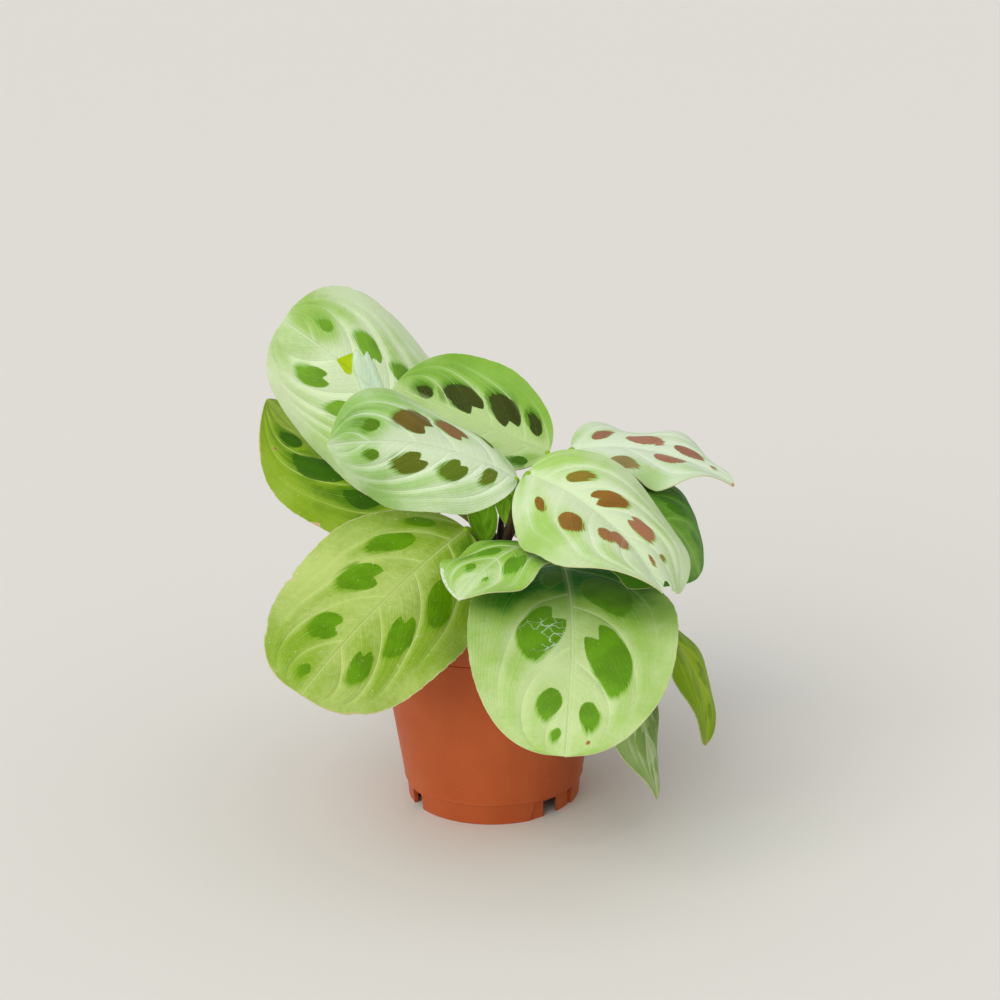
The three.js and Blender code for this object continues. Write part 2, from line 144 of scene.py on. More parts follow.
def write_share(mesh: Mesh, name: str, values: Array) -> None:
    """Stores one number or one vector for each vertex, for a material to read."""
    kind, key = ("FLOAT", "value") if values.ndim == 1 else ("FLOAT_VECTOR", "vector")
    store = mesh.attributes.new(name, kind, "POINT")
    store.data.foreach_set(key, np.ascontiguousarray(values, dtype=np.float32).ravel())


def apply_modifier(piece: Piece, kind: str, **settings: object) -> None:
    """Adds a modifier to a piece and applies it.

    Args:
        piece: The piece to change.
        kind: The modifier's type.
        settings: The modifier's own settings.
    """
    choose(piece)
    modifier = piece.modifiers.new(kind.lower(), kind)
    for key, value in settings.items():
        setattr(modifier, key, value)
    bpy.ops.object.modifier_apply(modifier=modifier.name)


def smooth_faces(piece: Piece, angle: float) -> None:
    """Shades a piece smooth, apart from edges sharper than an angle in degrees."""
    choose(piece)
    bpy.ops.object.shade_smooth_by_angle(angle=math.radians(angle))


def close_mesh(piece: Piece) -> None:
    """Merges the vertices of a piece that lie at one place, and turns its faces outward."""
    choose(piece)
    bpy.ops.object.mode_set(mode="EDIT")
    bpy.ops.mesh.select_all(action="SELECT")
    bpy.ops.mesh.remove_doubles(threshold=SAME_PLACE)
    bpy.ops.mesh.normals_make_consistent(inside=False)
    bpy.ops.object.mode_set(mode="OBJECT")


def turned(name: str, place: Place, sides: int, profile: Outline) -> Piece:
    """Turns a profile about the pot's axis: a ring is extruded and resized once for each of its points.

    Args:
        name: The piece's name.
        place: Where the axis is.
        sides: How many sides a ring has.
        profile: Radii and heights, from the edge of the flat underside round to the edge of the flat top.

    Returns:
        The closed piece, with its place in its mesh.
    """
    radius, height = profile[0]
    centre = Vector(place.metres((0, 0, height)))
    deselect_all()
    bpy.ops.mesh.primitive_circle_add(vertices=sides, radius=radius * MM, fill_type="TRIFAN", location=centre)
    piece = take_new(name)
    bpy.ops.object.transform_apply(location=True, rotation=True, scale=True)
    bpy.ops.object.mode_set(mode="EDIT")
    bpy.ops.mesh.select_all(action="SELECT")
    bpy.ops.mesh.region_to_loop()
    for next_radius, next_height in profile[1:]:
        rise = (0, 0, (next_height - height) * MM)
        bpy.ops.mesh.extrude_edges_move(TRANSFORM_OT_translate={"value": rise})
        scale = next_radius / radius
        bpy.ops.transform.resize(value=(scale, scale, 1), center_override=centre)
        radius, height = next_radius, next_height
    bpy.ops.mesh.extrude_edges_move(TRANSFORM_OT_translate={"value": (0, 0, 0)})
    bpy.ops.mesh.merge(type="CENTER")
    bpy.ops.object.mode_set(mode="OBJECT")
    close_mesh(piece)
    return piece


def give_materials(piece: Piece, *materials: bpy.types.Material) -> None:
    """Gives a piece these materials and no others."""
    piece.data.materials.clear()
    for material in materials:
        piece.data.materials.append(material)


def settle(piece: Piece, slot: str, *nodes: str) -> None:
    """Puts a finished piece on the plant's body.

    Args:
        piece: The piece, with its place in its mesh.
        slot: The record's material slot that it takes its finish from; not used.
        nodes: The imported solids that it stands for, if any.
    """
    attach(piece, BODY)
    if nodes:
        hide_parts(*nodes)
    log.info("%s: %d faces", piece.name, len(piece.data.polygons))


class Graph:
    """A material under construction: its node tree, its shader, and short ways to add nodes."""

    def __init__(self, name: str) -> None:
        """Makes an empty material with one principled shader.

        Args:
            name: The material's name.
        """
        self.material = bpy.data.materials.new(name)
        self.material.use_nodes = True
        self.tree = self.material.node_tree
        self.tree.nodes.clear()
        self.shader = self.tree.nodes.new("ShaderNodeBsdfPrincipled")
        output = self.tree.nodes.new("ShaderNodeOutputMaterial")
        self.tree.links.new(self.shader.outputs["BSDF"], output.inputs["Surface"])

    def set(self, socket: Socket, value: object) -> None:
        """Links an output to a socket, or sets the socket's own value."""
        if isinstance(value, Socket):
            self.tree.links.new(value, socket)
        else:
            socket.default_value = value

    def surface(self, **values: object) -> None:
        """Sets the shader's sockets, named with underscores for spaces."""
        for name, value in values.items():
            self.set(self.shader.inputs[name.replace("_", " ")], value)

    def attribute(self, name: str, output: str = "Fac") -> Socket:
        """Reads one of the piece's own attributes."""
        node = self.tree.nodes.new("ShaderNodeAttribute")
        node.attribute_name = name
        return node.outputs[output]

    def place(self) -> Socket:
        """Reads the place on the object, in metres."""
        return self.tree.nodes.new("ShaderNodeTexCoord").outputs["Object"]

    def math(self, operation: str, *values: object) -> Socket:
        """Works out a number from one to three others."""
        node = self.tree.nodes.new("ShaderNodeMath")
        node.operation = operation
        for socket, value in zip(node.inputs, values):
            self.set(socket, value)
        return node.outputs[0]

    def total(self, *values: object) -> Socket:
        """Adds up several numbers."""
        result = values[0]
        for value in values[1:]:
            result = self.math("ADD", result, value)
        return result

    def product(self, *values: object) -> Socket:
        """Multiplies several numbers."""
        result = values[0]
        for value in values[1:]:
            result = self.math("MULTIPLY", result, value)
        return result

    def ease(self, value: object, low: object, high: float, start: float = 0, end: float = 1) -> Socket:
        """Eases from start, where value is low, to end, where it is high.

        Args:
            value: The number to read.
            low: Where the change begins.
            high: Where it ends.
            start: The result up to low.
            end: The result from high on.

        Returns:
            The output that holds the result.
        """
        node = self.tree.nodes.new("ShaderNodeMapRange")
        node.interpolation_type = "SMOOTHSTEP"
        for socket, given in zip(node.inputs, (value, low, high, start, end)):
            self.set(socket, given)
        return node.outputs[0]

    def mix(self, share: object, first: object, second: object) -> Socket:
        """Mixes two colours, from first at 0 to second at 1."""
        node = self.tree.nodes.new("ShaderNodeMix")
        node.data_type = "RGBA"
        self.set(node.inputs["Factor"], share)
        for key, colour in (("A", first), ("B", second)):
            self.set(node.inputs[key], linear(colour) if isinstance(colour, tuple) else colour)
        return node.outputs["Result"]

    def layers(self, colour: Colour, *coats: tuple[object, object]) -> Socket:
        """Lays coats over a colour, each given as its share from 0 to 1 and its own colour."""
        for share, own in coats:
            colour = self.mix(share, colour, own)
        return colour

    def noise(self, where: object, scale: float, detail: float, stretch: Point = (1, 1, 1)) -> Socket:
        """Reads smooth noise from 0 to 1.

        Args:
            where: The place to read it at.
            scale: How fine it is.
            detail: How many finer layers it has.
            stretch: How much the place is scaled along each axis first.

        Returns:
            The output that holds the noise.
        """
        mapping = self.tree.nodes.new("ShaderNodeMapping")
        self.set(mapping.inputs["Vector"], where)
        mapping.inputs["Scale"].default_value = stretch
        node = self.tree.nodes.new("ShaderNodeTexNoise")
        self.set(node.inputs["Vector"], mapping.outputs[0])
        node.inputs["Scale"].default_value = scale
        node.inputs["Detail"].default_value = detail
        return node.outputs["Fac"]

    def swing(self, noise: object, amount: float) -> Socket:
        """Centres a noise on 0 and scales it."""
        return self.math("MULTIPLY", self.math("SUBTRACT", noise, 0.5), amount)

    def cells(self, where: object, scale: float, feature: str = "F1") -> Socket:
        """Reads the distance to the nearest of many points, or to the border between two of them."""
        node = self.tree.nodes.new("ShaderNodeTexVoronoi")
        node.feature = feature
        self.set(node.inputs["Vector"], where)
        node.inputs["Scale"].default_value = scale
        return node.outputs["Distance"]

    def shifted(self, where: object, amount: object, reach: float) -> Socket:
        """Moves a place along all three axes by up to reach metres, as an amount from 0 to 1 says."""
        node = self.tree.nodes.new("ShaderNodeVectorMath")
        node.operation = "MULTIPLY_ADD"
        for socket, value in zip(node.inputs, (amount, (reach, reach, reach), where)):
            self.set(socket, value)
        return node.outputs[0]

    def bump(self, height: object, distance: float) -> Socket:
        """Turns a height from 0 to 1 into a normal, for a relief of distance metres."""
        node = self.tree.nodes.new("ShaderNodeBump")
        self.set(node.inputs["Height"], height)
        node.inputs["Distance"].default_value = distance
        return node.outputs["Normal"]


# ---- Leaves ----------------------------------------------------------------------------------------------


@dataclass(frozen=True)
class Spot:
    """One blotch on a blade.

    along and out place its middle, as shares of the blade's length and of its half width. length and width
    are in millimetres, and lean is the angle from the midrib's direction at which it runs outwards. Its inner
    end is crisp, with one or two points, and its outer end is feathered. tone is 0 for the leaf's usual
    blotch colour, 1 for plain green and -1 for rosy brown.
    """

    along: float
    out: float
    length: float
    width: float
    lean: float
    lobes: int = 1
    tone: float = 0


@dataclass(frozen=True)
class Zone:
    """A round patch on a blade where something is stronger or weaker, fading out from its middle.

    along and out place its middle, as shares of the blade's length and of its half width, with out above 0 on
    the left half. size is its radius in millimetres.
    """

    along: float
    out: float
    size: float
    amount: float


@dataclass(frozen=True)
class Nick:
    """A small bite out of a blade's margin, in millimetres. side is 1 for left and -1 for right."""

    along: float
    side: int
    width: float
    depth: float


@dataclass(frozen=True)
class Fold:
    """A place where a blade is pushed up, or down with a height below 0.

    along and out place it as they do a zone. back, ahead and across are its reaches towards the base, towards
    the tip and sideways, in millimetres.
    """

    along: float
    out: float
    back: float
    ahead: float
    across: float
    height: float


@dataclass(frozen=True)
class LeafFinish:
    """A blade's colours: three tones of its ground, its blotches and the rim round a blotch.

    greenness is the ground's usual tone, from 0 for pale through 1 for green to 2 for deep. outward is how
    much greener it gets towards the margin. wear is how many specks and how rough a margin it has. halo_reach
    is how far the rim runs out beyond a blotch's outer end, in millimetres.
    """

    pale: Colour
    green: Colour
    deep: Colour
    spot: Colour
    halo: Colour
    greenness: float = 0
    outward: float = 0.5
    wear: float = 0.2
    halo_reach: float = 1.6


UNDERSIDE = ((160, 184, 130), (144, 165, 117), (124, 143, 101))

MINT = LeafFinish((219, 236, 200), (160, 206, 106), (92, 148, 24), (112, 98, 26), (108, 160, 24),
                  outward=0.34, halo_reach=2.6)
CREAM = LeafFinish((213, 231, 188), (168, 208, 106), (140, 186, 48), (150, 98, 30), (138, 186, 54),
                   outward=0.4)
BLUSH = LeafFinish((217, 233, 203), (176, 210, 138), (130, 180, 66), (172, 114, 90), (142, 176, 76),
                   outward=0.25, halo_reach=0.8)
SAGE = LeafFinish((222, 241, 196), (166, 206, 100), (112, 158, 20), (122, 174, 44), (134, 188, 76),
                  outward=0.15, halo_reach=2.4)
OLIVE = LeafFinish((190, 215, 146), (136, 184, 66), (78, 132, 12), (60, 68, 6), (76, 130, 2),
                   greenness=0.15, outward=0.32, halo_reach=5)
LIME = LeafFinish((192, 212, 120), (138, 174, 40), (82, 130, 0), (102, 156, 0), (120, 164, 14),
                  greenness=0.5, outward=0, wear=1, halo_reach=3)
FRESH = LeafFinish((202, 222, 160), (158, 198, 86), (44, 134, 0), (106, 160, 26), (128, 180, 52),
                   greenness=0.18, wear=0.4, halo_reach=2.2)
SPRING = LeafFinish((202, 225, 168), (144, 190, 66), (74, 130, 6), (96, 154, 18), (122, 178, 52),
                    greenness=0.35, wear=0.5)
DEEP = LeafFinish((182, 206, 92), (138, 172, 30), (58, 108, 0), (58, 106, 0), (86, 134, 0),
                  greenness=0.58, wear=0.5, halo_reach=6)
SHADE = LeafFinish((140, 184, 76), (84, 142, 26), (44, 98, 0), (72, 128, 10), (76, 134, 18), greenness=0.75)
# The hanging right leaf's bright yellow-green is partly its own colour, partly painted light shining through
# its thin blade.
AMBER = LeafFinish((168, 194, 30), (126, 162, 0), (104, 142, 0), (130, 166, 0), (130, 166, 0), greenness=0.85)
PLAIN = LeafFinish((206, 222, 168), (142, 178, 84), (70, 118, 20), (140, 176, 80), (144, 180, 86),
                   greenness=0.45)
YOUNG = LeafFinish((170, 226, 60), (140, 208, 18), (110, 180, 8), (140, 208, 18), (140, 208, 18),
                   greenness=0.85)


@dataclass(frozen=True)
class Leaf:
    """One leaf: the form of its blade, as its solid has it, its stem, its finish and its marks.

    Angles are degrees. heading is the way the midrib sets off, seen from above, and swing how far it turns by
    the tip. rise and dip are the midrib's slopes at base and tip. bank rolls the blade, and twist is added to
    it by the tip. fold lifts both halves, curl bends them on towards the margin, and wave ripples the margin.
    tip lists places across the blade, from -1 to 1, each with the share of the length at which a torn tip
    ends there. windows and flaps are straight-sided patches, given by their corners: a window is painted
    yellow-green as painted light shining through the blade, and a flap is a pale torn piece that stands up.
    Their corners go round them with the patch on the left, as shares of the blade's length and of its half
    width, above 0 on the left half.
    """

    node: str
    stem: str
    finish: LeafFinish
    base: Point
    heading: float
    swing: float
    rise: float
    dip: float
    bank: float
    twist: float
    length: float
    width: float
    fold: float
    curl: float
    widest: float
    point: float
    wave: float
    phase: float
    waves: float = 2
    left: tuple[Spot, ...] = ()
    right: tuple[Spot, ...] = ()
    zones: tuple[Zone, ...] = ()
    scuffs: tuple[Zone, ...] = ()
    scars: tuple[Zone, ...] = ()
    burns: tuple[Zone, ...] = ()
    nicks: tuple[Nick, ...] = ()
    folds: tuple[Fold, ...] = ()
    windows: tuple[Outline, ...] = ()
    flaps: tuple[Outline, ...] = ()
    tip: Outline = ((-1, 1), (1, 1))

    base_roundness = 2.2
    stalk_half_width = 1.1
    stalk_taper = 0.7
    left_lead = 0.27

    @property
    def small(self) -> bool:
        """Says whether this is one of the small leaves."""
        return self.length <= SMALL_LEAF

    @property
    def seed(self) -> int:
        """Gives a number of the leaf's own, so that no two margins or surfaces are alike."""
        return sum(ord(letter) for letter in self.node)

    def slopes(self, t: Array) -> tuple[Array, Array]:
        """Gives the midrib's heading and slope at t, in radians."""
        return np.radians(self.heading + self.swing * t), np.radians(self.rise + (self.dip - self.rise) * t)

    def along(self, t: Array) -> Array:
        """Gives the midrib's direction at t, one a row."""
        heading, slope = self.slopes(np.asarray(t, float))
        level = np.cos(slope)
        return np.stack([level * np.cos(heading), level * np.sin(heading), np.sin(slope)], axis=-1)

    def half_width(self, t: Array) -> Array:
        """Gives half the blade's width at t, in millimetres, and never less than its stalk's."""
        before = np.clip((self.widest - t) / self.widest, 0, 1)
        beyond = np.clip((t - self.widest) / (1 - self.widest), 0, 1)
        rising = np.sqrt(np.clip(1 - before ** self.base_roundness, 0, 1))
        closing = np.clip(1 - beyond ** 2, 0, 1) ** self.point
        stalk = self.stalk_half_width - self.stalk_taper * t
        return np.maximum(self.width / 2 * np.where(t < self.widest, rising, closing), stalk)

    def flat(self, along: float, out: float) -> tuple[float, float]:
        """Turns a place on the blade into millimetres along the midrib and sideways from it."""
        return along * self.length, out * float(self.half_width(np.array(along)))

    def surface(self, t: Array, s: Array) -> Array:
        """Gives the points of the blade's middle surface.

        Args:
            t: How far along the midrib, from 0 at the base to 1 at the tip.
            s: How far across, from -1 at the right margin to 1 at the left one.

        Returns:
            Points in millimetres from the pot's axis, one a row.
        """
        steps = 40
        middles = (np.arange(steps) + 0.5) / steps
        stations = np.vstack([[0, 0, 0], np.cumsum(self.along(middles) * self.length / steps, axis=0)])
        knots = np.linspace(0, 1, steps + 1)
        rib = np.stack([np.interp(t, knots, stations[:, k]) for k in range(3)], axis=-1) + np.array(self.base)

        heading, _ = self.slopes(t)
        level = np.stack([-np.sin(heading), np.cos(heading), np.zeros_like(heading)], axis=-1)
        raised = np.cross(self.along(t), level)
        bank = np.radians(self.bank + self.twist * t)[..., None]
        left = level * np.cos(bank) + raised * np.sin(bank)
        up = raised * np.cos(bank) - level * np.sin(bank)

        reach = np.abs(s) * self.half_width(t)
        lift = np.radians(self.fold + self.curl * reach / self.width)
        turn = 2 * np.pi * (self.waves * t + self.phase + self.left_lead * np.sign(s))
        ends = np.clip(np.sin(np.pi * t), 0, 1) ** 0.6
        ripple = self.wave * np.abs(s) ** 1.6 * ends * np.sin(turn)
        sideways = np.sign(s) * reach * np.cos(lift)
        return rib + left * sideways[..., None] + up * (reach * np.sin(lift) + ripple)[..., None]

    def normals(self, t: Array, s: Array) -> Array:
        """Gives the upward unit normals of the middle surface at t and s, one a row."""
        step = 0.004
        ahead = self.surface(np.minimum(t + step, 1), s) - self.surface(np.maximum(t - step, 0), s)
        across = self.surface(t, np.minimum(s + step, 1)) - self.surface(t, np.maximum(s - step, -1))
        normal = np.cross(ahead, across)
        return normal / np.maximum(np.linalg.norm(normal, axis=-1, keepdims=True), 1e-9)


class VeinLayout:
    """Where the lateral veins, the blotches and the other marks of one blade lie.

    A vein leaves the midrib at an angle and bows on towards the tip. lag and bow say how far it has run
    towards the tip at the margin, as shares of the length. This is less at the base, where the veins fan
    out. The notches, the slants and the bulge shape a blotch's ends, as shares of its length, and corner
    rounds its outline, as a share of its width.
    """

    fan_end = 0.7
    fan_least = 0.25
    lag = 0.33
    bow = 0.55
    least_gap = 0.11
    spare_veins = 6
    single_notch = 0.22
    double_notch = 0.2
    inner_slant = 0.12
    outer_slant = 0.2
    outer_bulge = 0.15
    corner = 0.08
    spot_far = -12.0
    patch_far = -4.0

    def __init__(self, leaf: Leaf, t: Array, s: Array) -> None:
        """Works out the layout at every point of a blade.

        Args:
            leaf: The blade's leaf.
            t: How far along the midrib each point lies.
            s: How far across each point lies.
        """
        self.leaf = leaf
        self.t = t
        self.out = np.abs(s)
        self.half = leaf.half_width(t)
        self.x = t * leaf.length
        self.y = s * self.half
        self.halves = (leaf.left, s >= 0), (leaf.right, s < 0)
        self.start = self._start(t, self.out)
        self.veins, self.rate = self._veins()
        self.spot, self.spot_out, self.tone = self._spots()

    def _start(self, t: Array, out: Array) -> Array:
        """Gives the place on the midrib where the vein through a point starts, as a share of the length."""
        fan = self.fan_least + (1 - self.fan_least) * smooth(t, 0, self.fan_end)
        return t - (self.lag * out + self.bow * out ** 3) * fan

    def _steepness(self) -> Array:
        """Gives how fast that place changes at each point, for each millimetre straight across the veins."""
        share = np.clip(self.t / self.fan_end, 0, 1)
        fan = self.fan_least + (1 - self.fan_least) * smooth(self.t, 0, self.fan_end)
        fan_slope = (1 - self.fan_least) * 6 * share * (1 - share) / self.fan_end
        lag = self.lag * self.out + self.bow * self.out ** 3
        lag_slope = self.lag + 3 * self.bow * self.out ** 2
        return np.hypot((1 - lag * fan_slope) / self.leaf.length, lag_slope * fan / self.half)

    def _veins(self) -> tuple[Array, Array]:
        """Counts the main lateral veins, so that each blotch lies midway between two.

        Returns:
            The count at each point, whole on a vein, and how fast it changes for each millimetre.
        """
        veins = np.zeros_like(self.t)
        rate = np.zeros_like(self.t)
        steepness = self._steepness()
        step = 0.01
        for spots, mine in self.halves:
            centres = []
            for start in sorted(float(self._start(spot.along, spot.out)) for spot in spots):
                if not centres or start - centres[-1] > self.least_gap:
                    centres.append(start)
            gaps = np.diff(centres)
            beyond = np.arange(1, self.spare_veins + 1)
            knots = np.concatenate([centres[0] - gaps[0] * beyond[::-1], centres,
                                    centres[-1] + gaps[-1] * beyond])
            counts = np.arange(len(knots)) + 0.5
            start = self.start[mine]
            veins[mine] = np.interp(start, knots, counts)
            rise = np.interp(start + step, knots, counts) - np.interp(start - step, knots, counts)
            rate[mine] = rise / (2 * step) * steepness[mine]
        return veins, np.maximum(rate, 1e-3)

    def _depth(self, spot: Spot) -> tuple[Array, Array]:
        """Measures one blotch, whose outline bulges, tapers and is notched at its inner end.

        Args:
            spot: The blotch.

        Returns:
            How far inside it each point lies, in millimetres and less than 0 outside it, and the share of the
            way from its inner end to its outer one.
        """
        middle, side = self.leaf.flat(spot.along, spot.out)
        lean = math.radians(spot.lean)
        x = self.x - middle
        y = np.abs(self.y) - side
        share = (x * math.cos(lean) + y * math.sin(lean)) / spot.length + 0.5
        across = (y * math.cos(lean) - x * math.sin(lean)) / (spot.width / 2)
        if spot.lobes == 2:
            notch = self.double_notch * np.abs(2 * np.abs(across) - 1) ** 1.3
        else:
            notch = self.single_notch * np.abs(across) ** 1.8
        corner = self.corner * spot.width
        aside = (1 - np.abs(across)) * (spot.width / 2)
        inner = (share - notch + self.inner_slant * across) * spot.length
        outer = (1 - self.outer_bulge * across ** 2 - self.outer_slant * across - share) * spot.length
        depth = -corner * np.logaddexp(np.logaddexp(-aside / corner, -inner / corner), -outer / corner)
        return depth, np.clip(share, 0, 1)

    def _spots(self) -> tuple[Array, Array, Array]:
        """Finds the nearest blotch of each point.

        Returns:
            Millimetres in from the blotch's edge, less than 0 outside it, the share of the way from its inner
            end to its outer one, and its tone.
        """
        inside = np.full_like(self.t, self.spot_far)
        share_out = np.zeros_like(self.t)
        tone = np.zeros_like(self.t)
        for spots, mine in self.halves:
            for spot in spots:
                depth, share = self._depth(spot)
                better = mine & (depth > inside)
                inside[better] = depth[better]
                share_out[better] = share[better]
                tone[better] = spot.tone
        return inside, share_out, tone

    def spread(self, zones: tuple[Zone, ...]) -> Array:
        """Adds up what some zones amount to at each point."""
        total = np.zeros_like(self.t)
        for zone in zones:
            x, y = self.leaf.flat(zone.along, zone.out)
            total += zone.amount * np.exp(-((self.x - x) ** 2 + (self.y - y) ** 2) / zone.size ** 2)
        return total

    def inside(self, patches: tuple[Outline, ...]) -> Array:
        """Measures how many millimetres inside the nearest patch each point lies, less than 0 outside it."""
        best = np.full_like(self.x, self.patch_far)
        for patch in patches:
            corners = [self.leaf.flat(along, out) for along, out in patch]
            sides = [((x1 - x0) * (self.y - y0) - (y1 - y0) * (self.x - x0)) / math.hypot(x1 - x0, y1 - y0)
                     for (x0, y0), (x1, y1) in zip(corners, corners[1:] + corners[:1])]
            best = np.maximum(best, np.min(sides, axis=0))
        return best


@dataclass
class Blade:
    """One leaf blade, as a fine puckered mesh with the marks that its material reads.

    The relief's heights, depths and widths are millimetres. Those of pucker, groove and swell belong to a
    blade that is relief_width wide, and are less on a narrower one.
    """

    leaf: Leaf
    place: Place
    grid: tuple[int, int] = (150, 88)
    small_grid: tuple[int, int] = (90, 56)
    crowding: float = 0.07
    tear_start: float = 0.6
    thickness: float = 0.45
    midrib: float = 1.3
    midrib_width: float = 0.9
    relief_width: float = 80
    pucker: float = 0.52
    groove: float = 0.42
    groove_width: float = 0.75
    swell: float = 0.16
    channel: float = 0.28
    channel_width: float = 1.2
    flap_lift: float = 0.9

    def _margin(self, t: Array, s: Array) -> Array:
        """Works out which share of the half width the margin reaches, less where it is worn or bitten."""
        leaf = self.leaf
        x = t * leaf.length
        seed = leaf.seed + np.sign(s)
        rough = np.sin(0.83 * x + seed) + 0.7 * np.sin(1.9 * x + 3 * seed) + 0.5 * np.sin(3.7 * x - seed)
        lost = (0.1 + 0.2 * leaf.finish.wear) * (1 + rough / 2.2) * np.sin(np.pi * t)
        for nick in leaf.nicks:
            near = np.exp(-(((t - nick.along) * leaf.length / (nick.width / 2)) ** 4))
            lost = lost + nick.depth * near * (np.sign(s) == nick.side)
        return 1 - lost / np.maximum(leaf.half_width(t), 3)

    def _relief(self, marks: VeinLayout) -> Array:
        """Works out how far each point stands above the plain blade, in millimetres."""
        x, y, seed = marks.x, marks.y, self.leaf.seed
        count = marks.veins % 1
        off_vein = np.minimum(count, 1 - count) / marks.rate
        size = self.leaf.width / self.relief_width
        fade = smooth(marks.out, 0.04, 0.2) * (1 - smooth(marks.out, 0.62, 0.9))
        ends = smooth(marks.t, 0, 0.12) * (1 - smooth(marks.t, 0.9, 1))
        pillow = self.pucker * np.sin(np.pi * count) ** 0.8 * fade
        groove = self.groove * np.exp(-(off_vein / self.groove_width) ** 2) * fade
        swell = np.sin(x / 7.3 + seed) * np.cos(y / 6.1 + 2 * seed) + 0.6 * np.sin(x / 3.9 - y / 4.7 + seed)
        channel = self.channel * np.exp(-(y / self.channel_width) ** 2) * (1 - 0.6 * marks.t)
        relief = (pillow - groove + self.swell * swell) * size * ends - channel
        for bend in self.leaf.folds:
            along, out = self.leaf.flat(bend.along, bend.out)
            reach = np.where(x > along, bend.ahead, bend.back)
            relief += bend.height * np.exp(-((x - along) / reach) ** 2 - ((y - out) / bend.across) ** 2)
        return relief + self.flap_lift * smooth(marks.inside(self.leaf.flaps), -0.4, 1)

    def _write_marks(self, mesh: Mesh, marks: VeinLayout, margin: Array, side: Array) -> None:
        """Stores at each vertex what the blade's material reads.

        Args:
            mesh: The blade's mesh.
            marks: Where the veins and the marks lie.
            margin: Which share of the half width the margin reaches.
            side: 1 on the left half, -1 on the right one and 0 on the midrib.
        """
        leaf = self.leaf
        fade = (1 - smooth(marks.out, 0.5, 0.88)) * (1 - smooth(marks.t, 0.78, 0.96))
        values = {
            "rib": marks.y,
            "edge": marks.half * margin - np.abs(marks.y),
            "out": marks.out,
            "vein": marks.veins,
            "vein_rate": marks.rate,
            "vein_fade": fade,
            "spot": marks.spot,
            "spot_out": marks.spot_out,
            "spot_tone": marks.tone,
            "ground": leaf.finish.greenness + marks.spread(leaf.zones),
            "scuff": marks.spread(leaf.scuffs),
            "scar": marks.spread(leaf.scars),
            "burn": marks.spread(leaf.burns),
            "backlit_window": marks.inside(leaf.windows),
            "flap": marks.inside(leaf.flaps),
            "flow": np.stack([marks.start * leaf.length, np.abs(marks.y), side * 9], axis=-1),
        }
        for name, shares in values.items():
            write_share(mesh, name, shares)

    def _thicken(self, piece: Piece, marks: VeinLayout) -> None:
        """Gives the sheet its thickness downwards, with a raised midrib that thins out towards the tip."""
        ridge = self.midrib * (1 - 0.8 * marks.t) * np.exp(-(marks.y / self.midrib_width) ** 2)
        full = self.thickness + self.midrib
        group = piece.vertex_groups.new(name="thickness")
        for index, weight in enumerate((self.thickness + ridge) / full):
            group.add([index], float(weight), "REPLACE")
        apply_modifier(piece, "SOLIDIFY", thickness=full * MM, offset=-1, vertex_group="thickness",
                       use_even_offset=False, material_offset=1, material_offset_rim=0)
        piece.vertex_groups.clear()

    def build(self) -> None:
        """Makes the blade, with its upper finish first and its lower one second."""
        leaf = self.leaf
        rows, columns = self.small_grid if leaf.small else self.grid
        deselect_all()
        bpy.ops.mesh.primitive_grid_add(x_subdivisions=rows, y_subdivisions=columns, size=2)
        piece = take_new(leaf.node.replace("leaf", "blade"))
        sheet = read_points(piece.data)
        even = np.clip((sheet[:, 0] + 1) / 2, 0, 1)
        t = np.clip(even - self.crowding * np.sin(2 * np.pi * even), 0, 1)
        s = np.clip(sheet[:, 1], -1, 1)
        margin = self._margin(t, s)
        places, ends = np.array(leaf.tip, float).T
        t = t - (1 - np.interp(s, places, ends)) * smooth(t, self.tear_start, 1)
        s = s * margin
        marks = VeinLayout(leaf, t, s)
        lift = self._relief(marks) + self.thickness / 2
        write_points(piece.data, self.place.metres(leaf.surface(t, s) + leaf.normals(t, s) * lift[:, None]))
        self._write_marks(piece.data, marks, margin, np.sign(s))
        give_materials(piece, *(LeafPaint(leaf, upper).material() for upper in (True, False)))
        self._thicken(piece, marks)
        smooth_faces(piece, angle=50)
        settle(piece, "leaf", leaf.node)


